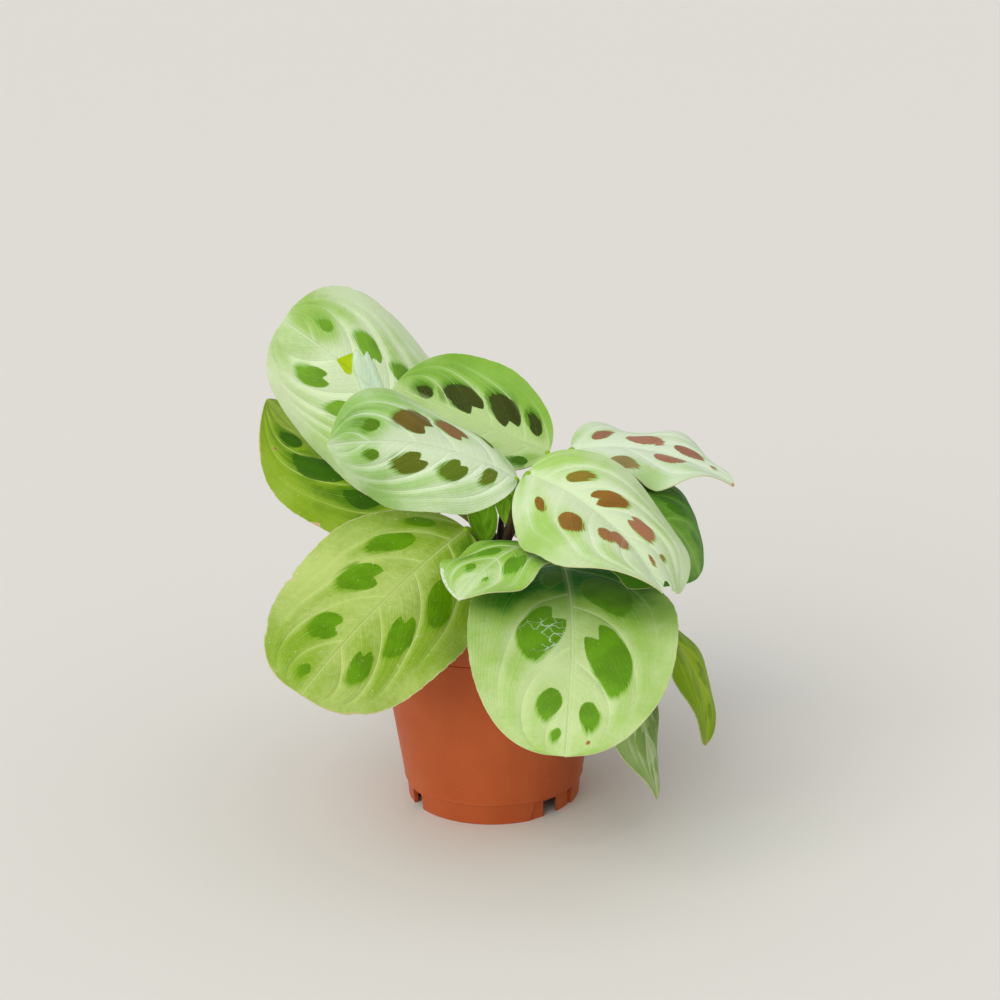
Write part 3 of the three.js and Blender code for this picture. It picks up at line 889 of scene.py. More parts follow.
class LeafPaint:
    """The finish of one blade's upper or lower face, laid on coat by coat.

    A coat is a share from 0 to 1 and a colour. The colours named here are those of marks that any blade can
    have. The lower face shows blotches and wear only faintly, at lower_strength. relief_height is in metres.
    """

    lower_strength = 0.2
    rosy = (172, 112, 84)
    flap = (212, 236, 206)
    # painted light: the yellow-green of light shining through the blade at a window
    backlit_window = (184, 212, 12)
    speck = (232, 238, 214)
    dust = (230, 238, 212)
    scuff = (216, 232, 214)
    scar = (196, 220, 190)
    scorched = (186, 150, 96)
    burnt = (112, 74, 42)
    dry_margin = (214, 208, 160)
    brown_margin = (224, 178, 138)
    relief_height = 0.00022

    def __init__(self, leaf: Leaf, upper: bool) -> None:
        """Reads the marks at each point of the blade, and makes the noises that several coats share.

        Args:
            leaf: The leaf whose colours it has.
            upper: True for the upper face.
        """
        self.finish = leaf.finish
        self.upper = upper
        self.strength = 1.0 if upper else self.lower_strength
        self.tones = (leaf.finish.pale, leaf.finish.green, leaf.finish.deep) if upper else UNDERSIDE
        self.line = scaled(self.tones[0], 1.03, 4)
        self.coats = []
        self.graph = graph = Graph(f"{leaf.node}_{'upper' if upper else 'under'}")
        self.read = graph.attribute
        self.where = graph.place()
        flow = graph.attribute("flow", "Vector")
        self.streaks = graph.noise(flow, 1, 2, stretch=(1.2, 0.16, 1))
        self.fine = graph.noise(flow, 1, 2, stretch=(4, 0.4, 1))
        self.cloud = graph.noise(self.where, 75, 3)
        self.mottle = graph.noise(self.where, 480, 4)
        self.rough = graph.noise(self.where, 600, 4)
        vein = self.read("vein")
        rate = self.read("vein_rate")
        self.from_main = graph.math("PINGPONG", vein, 0.5)
        self.off_main = graph.math("DIVIDE", self.from_main, rate)
        self.off_half = graph.math("DIVIDE", graph.math("PINGPONG", graph.math("ADD", vein, 0.5), 0.5), rate)
        fifths = graph.math("PINGPONG", graph.math("MULTIPLY", vein, 5), 0.5)
        self.off_minor = graph.math("DIVIDE", fifths, graph.math("MULTIPLY", rate, 5))
        self.vein_fade = self.read("vein_fade")

    def _coat(self, share: object, colour: object) -> None:
        """Lays one more coat over those before it."""
        self.coats.append((share, colour))

    def _ground(self) -> None:
        """Paints the ground: pale along the midrib and the veins, greener between them and outwards."""
        graph = self.graph
        out = self.read("out")
        between = graph.ease(graph.math("MULTIPLY", self.from_main, 2), 0.1, 0.95)
        tone = graph.total(
            self.read("ground"),
            graph.product(between, graph.ease(out, 0.08, 0.42), self.vein_fade, 0.5),
            graph.math("MULTIPLY", graph.ease(out, 0.1, 0.85), self.finish.outward),
            graph.swing(self.cloud, 0.9),
            graph.swing(graph.noise(self.where, 28, 2), 1.1),
            graph.swing(self.streaks, 0.22),
            graph.swing(self.mottle, 0.25 + 0.35 * self.finish.wear),
            -0.1,
        )
        self._coat(graph.ease(tone, -0.1, 1.05), self.tones[1])
        self._coat(graph.ease(tone, 0.95, 2.05), self.tones[2])

    def _blotches(self) -> Socket:
        """Paints the blotches: crisp towards the midrib, feathered along the veins towards the margin.

        Returns:
            The share of blotch at each point.
        """
        graph, finish = self.graph, self.finish
        spot_out = self.read("spot_out")
        feather = graph.math("MULTIPLY", graph.math("SUBTRACT", self.streaks, 0.5),
                             graph.ease(spot_out, 0.3, 1, 0.9, 5))
        spot = graph.total(self.read("spot"), feather, graph.swing(self.fine, 0.9),
                           graph.swing(self.cloud, 1.3))
        reach = graph.ease(spot_out, 0.3, 0.95, -0.5, -finish.halo_reach)
        body = graph.math("MULTIPLY", graph.ease(spot, -0.12, 0.22), 0.97 * self.strength)
        tint = self.read("spot_tone")
        blotch = graph.layers(
            finish.spot,
            (graph.ease(self.cloud, 0.32, 0.68), scaled(finish.spot, 0.86)),
            (graph.ease(self.fine, 0.5, 0.72, 0, 0.5), scaled(finish.spot, 1.14)),
            (graph.ease(tint, 0, 1), scaled(finish.halo, 0.85)),
            (graph.ease(tint, 0, -1), self.rosy),
        )
        self._coat(graph.math("MULTIPLY", graph.ease(spot, reach, 0.1), 0.9 * self.strength), finish.halo)
        self._coat(body, blotch)
        return body

    def _veins(self, body: Socket) -> None:
        """Paints the veins, fainter on a blotch, and the midrib with a painted shadow line at either side.

        Args:
            body: The share of blotch at each point.
        """
        graph = self.graph
        clear = graph.ease(body, 0, 1, 1, 0.12)
        minor_fade = graph.ease(self.read("out"), 0.6, 0.95, 1, 0.1)
        for distance, crisp, soft, share, fade in (
                (self.off_main, 0.2, 1.9, 0.32, self.vein_fade),
                (self.off_main, 0.12, 0.34, 0.85, self.vein_fade),
                (self.off_half, 0.08, 0.26, 0.3, self.vein_fade),
                (self.off_minor, 0.06, 0.24, 0.12, minor_fade)):
            self._coat(graph.product(graph.ease(distance, crisp, soft, share, 0), fade, clear), self.line)
        self._coat(graph.ease(self.fine, 0.55, 0.8, 0, 0.14), self.tones[2])
        rib = graph.math("ABSOLUTE", self.read("rib"))
        self._coat(graph.ease(rib, 0.6, 3, 0.3, 0), self.line)
        self._coat(graph.ease(rib, 0.22, 0.55, 0.8, 0), scaled(self.line, 0.97))
        # painted shadow: a dark line at either side of the midrib, where it would be shaded
        shade = graph.product(graph.ease(rib, 0.5, 0.7), graph.ease(rib, 0.7, 1.1, 0.14, 0))
        self._coat(shade, self.tones[2])

    def _patches(self) -> None:
        """Paints the flaps, with a painted shadow round them, and the windows, painted yellow-green as light
        shining through the blade.
        """
        graph = self.graph
        flap = graph.math("ADD", self.read("flap"), graph.swing(self.fine, 0.5))
        backlit_window = graph.math("ADD", self.read("backlit_window"), graph.swing(self.cloud, 1.2))
        # painted shadow: a deep-green rim round each raised flap
        self._coat(graph.ease(flap, -0.8, -0.1, 0, 0.3), self.tones[2])
        self._coat(graph.ease(flap, -0.12, 0.15, 0, 0.92), self.flap)
        # painted light: a window is coloured as light shining through the blade
        self._coat(graph.ease(backlit_window, -0.15, 0.2), self.backlit_window)

    def _wear(self) -> None:
        """Paints pale specks and dust, scuffed and scarred patches, browned places and a dry margin."""
        graph, where, wear = self.graph, self.where, self.finish.wear
        edge = self.read("edge")
        burns = self.read("burn")
        self._coat(graph.ease(graph.cells(where, 250), 0.04 + 0.06 * wear, 0.02, 0, 0.8), self.speck)
        self._coat(graph.ease(graph.cells(where, 520), 0.04 + 0.09 * wear, 0.015, 0, 0.7), self.dust)

        scuff = graph.product(self.strength, self.read("scuff"), graph.ease(self.rough, 0.3, 0.56),
                              graph.ease(edge, 0.8, 2.8, 1, 0.12))
        self._coat(graph.ease(scuff, 0.1, 0.7, 0, 0.85), self.scuff)

        web = graph.cells(graph.shifted(where, graph.noise(where, 300, 2), 0.004), 230, "DISTANCE_TO_EDGE")
        scar = graph.product(graph.ease(web, 0.02, 0.07, 1, 0), self.read("scar"),
                             graph.ease(self.cloud, 0.42, 0.54), self.strength)
        self._coat(graph.ease(scar, 0.2, 0.6, 0, 0.8), self.scar)

        burn = graph.math("ADD", burns, graph.swing(graph.noise(where, 380, 3), 1))
        self._coat(graph.ease(burn, 0.7, 0.9, 0, 0.9), self.scorched)
        self._coat(graph.ease(burn, 1, 1.15, 0, 0.8), self.burnt)

        ragged = graph.product(graph.noise(where, 260, 3), 0.5 + 0.5 * wear)
        dry = graph.math("MULTIPLY_ADD", burns, graph.ease(self.rough, 0.35, 0.65, 0.2, 2), ragged)
        self._coat(graph.ease(graph.math("SUBTRACT", edge, dry), -0.3, 0.02, 0.8, 0),
                   graph.mix(burns, self.dry_margin, self.brown_margin))

    def _relief(self) -> Socket:
        """Works out the finest relief: minor veins standing up, main ones sunk, and the skin's grain."""
        graph = self.graph
        grain = [graph.math("MULTIPLY", noise, share) for noise, share in (
            (self.fine, 0.3), (self.mottle, 0.4), (graph.cells(self.where, 1500), 0.45), (self.cloud, 0.6))]
        sunk = graph.product(graph.ease(self.off_main, 0.05, 0.6, -0.3, 0), self.vein_fade)
        return graph.total(graph.ease(self.off_minor, 0.05, 0.4, 0, 0.3), sunk, *grain)

    def material(self) -> bpy.types.Material:
        """Makes the material.

        Returns:
            The material, with every coat on it.
        """
        graph = self.graph
        self._ground()
        self._veins(self._blotches())
        if self.upper:
            self._patches()
        self._wear()
        graph.surface(
            Base_Color=graph.layers(self.tones[0], *self.coats),
            Roughness=graph.ease(self.cloud, 0.3, 0.7, 0.4, 0.54),
            Specular_IOR_Level=0.13,
            Subsurface_Weight=0.06,
            Subsurface_Radius=(0.4, 0.8, 0.2),
            Subsurface_Scale=0.002,
            Normal=graph.bump(self._relief(), self.relief_height),
        )
        return graph.material


PLAIN_SPOTS = (Spot(0.2, 0.42, 12, 6, 52), Spot(0.42, 0.38, 14, 9, 45, 2), Spot(0.63, 0.32, 12, 9, 40, 2),
               Spot(0.82, 0.24, 7, 5, 34))
SMALL_SPOTS = (Spot(0.25, 0.42, 3.6, 1.8, 50), Spot(0.5, 0.38, 4.4, 2.6, 44), Spot(0.75, 0.3, 3, 1.6, 36))

LEAVES = (
    Leaf("leaf_top_left", "rear", SAGE, (-10, 37, 133),
         heading=171, swing=7, rise=51, dip=36, bank=-44, twist=-37, length=113, width=86, fold=5, curl=-81,
         widest=0.54, point=0.43, wave=1.5, phase=0.06,
         left=(Spot(0.41, 0.32, 9, 8, 75), Spot(0.6, 0.38, 9.5, 8.5, 70), Spot(0.77, 0.33, 14.5, 9, 30, 2)),
         right=(Spot(0.3, 0.35, 10, 7, 45), Spot(0.5, 0.35, 9, 8, 34), Spot(0.665, 0.33, 15, 8.5, 30, 2),
                Spot(0.85, 0.28, 6.5, 5, 26)),
         zones=(Zone(0.86, -0.25, 12, 0.9), Zone(0.93, 0.5, 11, 0.7), Zone(0.97, -0.6, 10, 0.7),
                Zone(0.7, 0.15, 16, -0.3), Zone(0.45, 0.75, 16, 0.35), Zone(0.35, -0.7, 14, 0.4),
                Zone(0.58, -0.07, 7, -0.8)),
         windows=(((0.74, 0), (0.672, 0.056), (0.65, 0.024), (0.702, -0.192)),),
         flaps=(((0.7, -0.224), (0.686, -0.092), (0.55, 0.124), (0.5, 0.03), (0.654, -0.192)),
                ((0.672, -0.3), (0.654, -0.192), (0.5, 0.03), (0.5, -0.06))),
         nicks=(Nick(0.7, -1, 5, 0.8), Nick(0.84, -1, 3, 0.6))),
    Leaf("leaf_far_left", "rear", DEEP, (-19, 42, 122),
         heading=167, swing=-9, rise=6, dip=49, bank=3, twist=-10, length=101, width=69, fold=2, curl=-75,
         widest=0.5, point=0.74, wave=1.4, phase=0,
         left=(Spot(0.36, 0.41, 15, 11, 40), Spot(0.6, 0.33, 22, 13, 30, 2), Spot(0.78, 0.28, 10, 8, 50)),
         right=(Spot(0.3, 0.4, 14, 8, 45), Spot(0.55, 0.33, 15, 9, 42, 2), Spot(0.76, 0.28, 9, 7, 38)),
         zones=(Zone(0.5, 0.4, 22, 0.5), Zone(0.3, 0.5, 14, 0.5), Zone(0.62, 0.85, 12, -0.5),
                Zone(0.35, 0.9, 12, -0.4), Zone(0.9, 0.1, 12, -0.1)),
         burns=(Zone(0.8, 0.65, 0.9, 1.3), Zone(0.47, 0.98, 1.6, 1.2), Zone(0.85, 0.9, 6, 0.4))),
    Leaf("leaf_upper_middle", "rear", OLIVE, (27, 22, 153),
         heading=161, swing=3, rise=18, dip=22, bank=-33, twist=-16, length=77, width=60, fold=13, curl=-3,
         widest=0.55, point=0.63, wave=1.5, phase=-0.28,
         left=(Spot(0.12, 0.62, 6, 5.5, 60, 1, 1), Spot(0.34, 0.66, 14, 9, 50), Spot(0.58, 0.66, 13, 11, 38),
               Spot(0.8, 0.6, 6, 6, 45)),
         right=(Spot(0.145, 0.476, 11, 5.3, 59), Spot(0.34, 0.375, 16.5, 11, 45, 2),
                Spot(0.592, 0.28, 17, 11.5, 25, 2), Spot(0.818, 0.148, 6.5, 6.3, 45)),
         zones=(Zone(0.45, -0.8, 16, 0.5), Zone(0.7, -0.75, 14, 0.5), Zone(0.12, -0.9, 10, 0.5),
                Zone(0.5, 0.4, 24, -0.5), Zone(0.9, -0.3, 12, 0.4))),
    Leaf("leaf_centre", "right", MINT, (12.4, -13, 152),
         heading=195, swing=7, rise=35, dip=-2, bank=-25, twist=-65, length=89, width=59, fold=7, curl=-78,
         widest=0.58, point=0.76, wave=2.8, phase=0.2,
         left=(Spot(0.16, 0.28, 9.5, 6.2, 74, 1, 0.5), Spot(0.35, 0.305, 11.5, 9.5, 45, 2, 0.55),
               Spot(0.58, 0.28, 14, 9, 25, 2, 0.4), Spot(0.78, 0.22, 5.6, 4.5, 24, 1, 0.9)),
         right=(Spot(0.18, 0.72, 11, 4, 61, 1, 0.5), Spot(0.365, 0.42, 13, 8, 32, 2, -0.5),
                Spot(0.57, 0.36, 15, 11, 25, 2, -0.2), Spot(0.78, 0.29, 6.5, 5, 8, 1, 0.9)),
         zones=(Zone(0.85, -0.35, 12, 1.1), Zone(0.85, 0.22, 9, 0.5), Zone(0.67, -0.65, 12, 0.6),
                Zone(0.6, 0.7, 14, 0.3))),
    Leaf("leaf_lower_left", "left", LIME, (-10, -16, 131),
         heading=228, swing=8, rise=-16, dip=-25, bank=-37, twist=6, length=116, width=78, fold=-5, curl=0,
         widest=0.48, point=0.37, wave=2.3, phase=-0.2,
         left=(Spot(0.33, 0.46, 23, 11, 38), Spot(0.56, 0.4, 21.5, 10.2, 22, 2),
               Spot(0.77, 0.34, 16, 8.5, 20, 2)),
         right=(Spot(0.11, 0.6, 13, 5, 57), Spot(0.26, 0.48, 21, 9.4, 38), Spot(0.46, 0.39, 17, 14, 54, 2),
                Spot(0.71, 0.31, 12.5, 14, 63, 2), Spot(0.91, 0.22, 6, 5, 37)),
         zones=(Zone(0.07, 0.25, 14, 0.8), Zone(0.3, 0.85, 22, 0.6), Zone(0.2, -0.8, 16, 0.25),
                Zone(0.9, -0.5, 14, 0.5), Zone(0.55, 0.9, 10, 0.3), Zone(0.55, -0.75, 18, -0.35),
                Zone(0.35, -0.45, 14, -0.3), Zone(0.97, 0.1, 12, 0.3)),
         burns=(Zone(0.995, 0.2, 5, 0.6), Zone(0.94, 0.97, 4, 0.6), Zone(0.62, -1, 3, 0.7),
                Zone(0.7, -0.5, 1.6, 0.9), Zone(0.995, -0.9, 7, 0.6), Zone(0.97, 0.75, 4, 0.7)),
         nicks=(Nick(0.62, -1, 3, 1), Nick(0.93, 1, 4, 1), Nick(0.85, -1, 6, 0.7))),
    Leaf("leaf_front", "right", FRESH, (32, -16, 114),
         heading=-84, swing=-16, rise=-1, dip=-44, bank=-5, twist=9, length=117, width=88, fold=3, curl=2,
         widest=0.47, point=0.4, wave=1.7, phase=0.02,
         left=(Spot(0.27, 0.39, 29, 18.5, 44), Spot(0.608, 0.36, 34, 17, 25, 2), Spot(0.85, 0.26, 12, 8, 31)),
         right=(Spot(0.145, 0.2, 14, 9, 45), Spot(0.475, 0.31, 28, 19, 35, 2), Spot(0.8, 0.23, 13, 10, 35),
                Spot(0.92, 0.17, 5, 4, 47)),
         # The first zone paints the blade's base deep green: partly its own colour, partly painted shadow
         # from the leaves above it.
         zones=(Zone(0.06, 0, 30, 2.2), Zone(0.3, 0.6, 18, 0.6), Zone(0.32, -0.8, 12, 0.6),
                Zone(0.75, 0.6, 20, -0.1), Zone(0.8, -0.6, 18, -0.1), Zone(0.97, 0, 18, 0.2)),
         scars=(Zone(0.49, -0.29, 9.5, 1.2),), scuffs=(Zone(0.5, -0.25, 7, 0.35),),
         burns=(Zone(0.95, 0.42, 1.2, 1.1), Zone(0.8, 0.72, 0.9, 1.1), Zone(0.97, 0.3, 5, 0.6),
                Zone(0.3, 1, 3, 0.7))),
    Leaf("leaf_right", "right", CREAM, (17, -14, 155.3),
         heading=-43, swing=-27, rise=-5, dip=-26, bank=36, twist=-64, length=100, width=70, fold=16,
         curl=-64, widest=0.51, point=0.53, wave=1.8, phase=-0.47,
         left=(Spot(0.229, 0.305, 11, 7, 62, 1, 0.35), Spot(0.411, 0.255, 13.5, 11, 58, 2),
               Spot(0.62, 0.3, 15, 8.5, 12, 2, -0.8),
               Spot(0.783, 0.4, 3.2, 2.8, 40, 1, 0.4), Spot(0.81, 0.146, 6.5, 1.5, 2, 1, -0.6)),
         right=(Spot(0.213, 0.45, 10, 3.8, 34, 1, 0.1), Spot(0.458, 0.427, 17.5, 9, 25, 1, 0.1),
                Spot(0.631, 0.265, 11, 6, 25, 1, -0.4), Spot(0.674, 0.13, 13, 7.4, 28, 1, -0.6)),
         zones=(Zone(0.08, 0.5, 14, 0.9), Zone(0.5, -0.85, 16, 0.6), Zone(0.3, -0.85, 14, 0.4),
                Zone(0.55, 0, 20, -0.1)),
         folds=(Fold(0.88, 0.75, 14, 12, 9, -3.5),),
         tip=((-1, 1), (-0.05, 1), (0.1, 0.985), (0.26, 0.925), (0.36, 0.925), (0.55, 0.97), (1, 0.985))),
    Leaf("leaf_small_front", "right", SPRING, (19, -33, 130),
         heading=230, swing=4, rise=9, dip=-31, bank=8, twist=-13, length=54, width=47, fold=10, curl=-31,
         widest=0.48, point=0.77, wave=2.4, phase=0.1,
         left=(Spot(0.5, 0.48, 11.5, 9.1, 23, 2), Spot(0.75, 0.29, 3, 2.6, 20)),
         right=(Spot(0.41, 0.28, 10, 7.3, 56), Spot(0.67, 0.25, 5, 4, 32)),
         zones=(Zone(0.15, 0, 16, 1.1), Zone(0.5, -0.4, 10, 0.6), Zone(0.98, 0, 10, -0.3)),
         scuffs=(Zone(0.8, -0.98, 3.4, 1.2), Zone(0.88, -0.95, 3.4, 1.2), Zone(0.95, -0.8, 3.4, 1.2),
                 Zone(0.99, 0, 3.2, 1.2))),
    Leaf("leaf_upper_right", "rear", BLUSH, (37, 20, 155),
         heading=0, swing=-23, rise=9, dip=-30, bank=17, twist=-21, length=76, width=55, fold=14, curl=-42,
         widest=0.48, point=0.88, wave=3.9, phase=-0.19,
         left=(Spot(0.18, 0.36, 9.6, 5.5, 52), Spot(0.414, 0.306, 15, 9.5, 15),
               Spot(0.675, 0.287, 12.5, 7, 10), Spot(0.84, 0.22, 3, 2.4, 10)),
         right=(Spot(0.325, 0.67, 15, 8.5, 42, 1, 0.45), Spot(0.592, 0.21, 14, 9, 0)),
         zones=(Zone(0.5, -0.95, 12, 0.9), Zone(0.05, 0.4, 8, 0.5)), burns=(Zone(1, 0, 2.4, 1.2),)),
    Leaf("leaf_under_right", "right", SHADE, (31, -8, 134),
         heading=-18, swing=12, rise=38, dip=-81, bank=25, twist=-11, length=80, width=79, fold=1, curl=-36,
         widest=0.67, point=0.56, wave=1.9, phase=-0.39, left=PLAIN_SPOTS, right=PLAIN_SPOTS),
    Leaf("leaf_hanging_right", "right", AMBER, (56, -8, 95),
         heading=-18, swing=-17, rise=-16, dip=-98, bank=-16, twist=7, length=84, width=43, fold=12, curl=-36,
         widest=0.49, point=0.69, wave=1.8, phase=-0.05, left=PLAIN_SPOTS, right=PLAIN_SPOTS,
         zones=(Zone(0.1, 0, 16, 0.7), Zone(0.55, 0.4, 16, -0.3)), burns=(Zone(1, 0, 3, 1.1),)),
    Leaf("leaf_hanging_front", "right", PLAIN, (50, -29, 89),
         heading=-35, swing=11, rise=-59, dip=-84, bank=2, twist=-14, length=81, width=47, fold=6, curl=-28,
         widest=0.5, point=0.73, wave=2.1, phase=-0.19, left=PLAIN_SPOTS, right=PLAIN_SPOTS,
         zones=(Zone(0.5, 0.5, 20, 0.6), Zone(0.6, -0.4, 22, -0.3))),
    Leaf("leaf_back_low", "rear", LIME, (4, 28, 102),
         heading=90, swing=6, rise=0, dip=-56, bank=0, twist=0, length=90, width=60, fold=8, curl=-20,
         widest=0.48, point=0.65, wave=1.6, phase=0.3, left=PLAIN_SPOTS, right=PLAIN_SPOTS),
    Leaf("leaf_back_right", "rear", SAGE, (18, 22, 110),
         heading=60, swing=-8, rise=4, dip=-52, bank=6, twist=0, length=98, width=62, fold=8, curl=-24,
         widest=0.48, point=0.6, wave=2, phase=0.1, left=PLAIN_SPOTS, right=PLAIN_SPOTS),
    Leaf("leaf_back_left", "left", FRESH, (-18, 12, 108),
         heading=138, swing=10, rise=8, dip=-50, bank=-6, twist=0, length=94, width=60, fold=8, curl=-22,
         widest=0.48, point=0.6, wave=1.8, phase=0.6, left=PLAIN_SPOTS, right=PLAIN_SPOTS),
    Leaf("leaf_young", "left", YOUNG, (-2, -1, 119),
         heading=112, swing=0, rise=66, dip=58, bank=0, twist=0, length=32, width=15, fold=24, curl=0,
         widest=0.42, point=0.8, wave=0.6, phase=0.2, waves=1, left=SMALL_SPOTS, right=SMALL_SPOTS),
    Leaf("leaf_small_hanging", "rear", YOUNG, (8, 3, 151),
         heading=-96, swing=0, rise=-50, dip=-88, bank=0, twist=0, length=24, width=11, fold=14, curl=0,
         widest=0.4, point=0.95, wave=0.3, phase=0.2, waves=1, left=SMALL_SPOTS, right=SMALL_SPOTS),
)


# ---- Stems and petioles ----------------------------------------------------------------------------------


@dataclass(frozen=True)
class Stem:
    """One stem: where it stands in the soil and where its crown is."""

    foot: tuple[float, float]
    crown: Point


STEMS = {
    "left": Stem((-7, 0), (-1, -5, 111)),
    "right": Stem((8, -5), (5, -6, 110)),
    "rear": Stem((3, 9), (4, 6, 114)),
}


@dataclass
class StemClump:
    """The stems, their sheaths and every petiole, each as a round tapering rod."""

    place: Place
    soil_top: float = 79
    depth: float = 17.5
    shoulder: float = 7
    stem_radius: float = 2.9
    sheath_radius: float = 3.7
    petiole_radius: float = 1.25
    small_petiole_radius: float = 0.95
    joint_length: float = 7
    joint_swell: float = 0.22
    sheath_swell: float = 0.9
    end_taper: float = 0.35
    into_blade: float = 1.5
    into_crown: float = 3
    steps: int = 36
    pieces: list[Piece] = field(default_factory=list)

    def _rod(self, name: str, path: Array, radii: Array, tones: Array) -> None:
        """Makes one rod along a path.

        Args:
            name: The piece's name.
            path: The middle line's points in millimetres, one a row.
            radii: The rod's radius at each point, in millimetres.
            tones: How green the rod is at each point, from 0 at its brown foot to 1 at the leaf.
        """
        deselect_all()
        bpy.ops.curve.primitive_nurbs_path_add()
        curve = bpy.context.object.data
        curve.splines.clear()
        curve.dimensions = "3D"
        curve.bevel_depth = MM
        curve.bevel_resolution = 4
        curve.use_fill_caps = True
        spline = curve.splines.new("POLY")
        spline.points.add(len(path) - 1)
        placed = self.place.metres(path)
        for point, at, radius in zip(spline.points, placed, radii):
            point.co = (*at, 1)
            point.radius = radius
        bpy.ops.object.convert(target="MESH")
        piece = take_new(name)
        close_mesh(piece)
        points = read_points(piece.data)
        nearest = np.argmin(((points[:, None, :] - placed[None, :, :]) ** 2).sum(-1), axis=1)
        write_share(piece.data, "tone", tones[nearest])
        smooth_faces(piece, angle=60)
        self.pieces.append(piece)

    def _petiole(self, leaf: Leaf) -> None:
        """Makes one leaf's petiole, with its sheath at the stem and its swollen joint at the blade."""
        away = leaf.along(np.array([0.0]))[0]
        end = np.array(leaf.base, float) + self.into_blade * away
        start = np.array(STEMS[leaf.stem].crown, float) - (0, 0, self.into_crown)
        reach = np.linalg.norm(end - start)
        first = start + 0.3 * (end - start) + (0, 0, 0.15 * reach)
        second = end - away * min(0.3 * reach, 5)
        u = np.linspace(0, 1, self.steps)
        weights = np.stack([(1 - u) ** 3, 3 * (1 - u) ** 2 * u, 3 * (1 - u) * u ** 2, u ** 3], axis=-1)
        left_over = (1 - u) * reach
        off_joint = (left_over - 0.55 * self.joint_length) / (0.4 * self.joint_length)
        joint = self.joint_swell * np.exp(-off_joint ** 2)
        sheath = self.sheath_swell * (1 - smooth(u, 0.05, 0.5))
        radius = self.small_petiole_radius if leaf.small else self.petiole_radius
        radii = radius * (1 + joint + sheath) * (1 - self.end_taper * smooth(u, 0.96, 1))
        tones = smooth(u, 0.1, 0.75) + 0.5 * smooth(-left_over, -self.joint_length, -0.5 * self.joint_length)
        path = weights @ np.stack([start, first, second, end])
        self._rod(leaf.node.replace("leaf", "petiole"), path, radii, tones)

    def _stem(self, name: str, stem: Stem) -> None:
        """Makes one stem, from its foot in the soil to its sheathed crown."""
        foot = np.array([*stem.foot, self.soil_top - self.depth])
        bend = np.array([*stem.foot, self.soil_top + self.shoulder])
        u = np.linspace(0, 1, self.steps)
        v = u[:, None]
        leaning = (1 - v) ** 2 * bend + 2 * (1 - v) * v * (bend + (0, 0, 8)) + v ** 2 * np.array(stem.crown)
        path = np.vstack([foot, bend - (0, 0, 1), leaning])
        swell = smooth(u, 0, 0.6) * (1 - self.end_taper * smooth(u, 0.85, 1))
        sheathed = self.stem_radius + (self.sheath_radius - self.stem_radius) * swell
        radii = np.concatenate([[self.stem_radius] * 2, sheathed])
        tones = np.concatenate([[0, 0], 0.3 * smooth(u, 0.2, 1)])
        self._rod(f"stem_{name}", path, radii, tones)

    def build(self) -> None:
        """Makes every rod, and settles them in place of the one packed clump."""
        for name, stem in STEMS.items():
            self._stem(name, stem)
        for leaf in LEAVES:
            self._petiole(leaf)
        finish = stem_material()
        for piece in self.pieces:
            give_materials(piece, finish)
            settle(piece, "stem", "stems")


def stem_material() -> bpy.types.Material:
    """Makes the finish of stems and petioles: brown at the foot, green towards the leaf, finely ribbed."""
    graph = Graph("stem")
    where = graph.place()
    grain = graph.noise(where, 900, 3, stretch=(1, 1, 0.15))
    tone = graph.math("ADD", graph.attribute("tone"), graph.swing(graph.noise(where, 160, 3), 0.5))
    graph.surface(
        Base_Color=graph.layers(
            (44, 24, 22),
            (graph.ease(tone, 0.1, 0.6), (98, 84, 26)),
            (graph.ease(tone, 0.6, 1.1), (120, 158, 30)),
            (graph.ease(tone, 1.05, 1.4), (150, 192, 40)),
            (graph.ease(grain, 0.5, 0.75, 0, 0.45), (52, 30, 20)),
        ),
        Roughness=0.55,
        Specular_IOR_Level=0.2,
        Subsurface_Weight=0.08,
        Subsurface_Scale=0.002,
        Normal=graph.bump(grain, 0.0002),
    )
    return graph.material


# ---- Pot -------------------------------------------------------------------------------------------------


class NotchKind(Enum):
    """Whether a notch in the foot ring lies in a shallow recess."""

    PLAIN = "plain"
    RECESSED = "recessed"


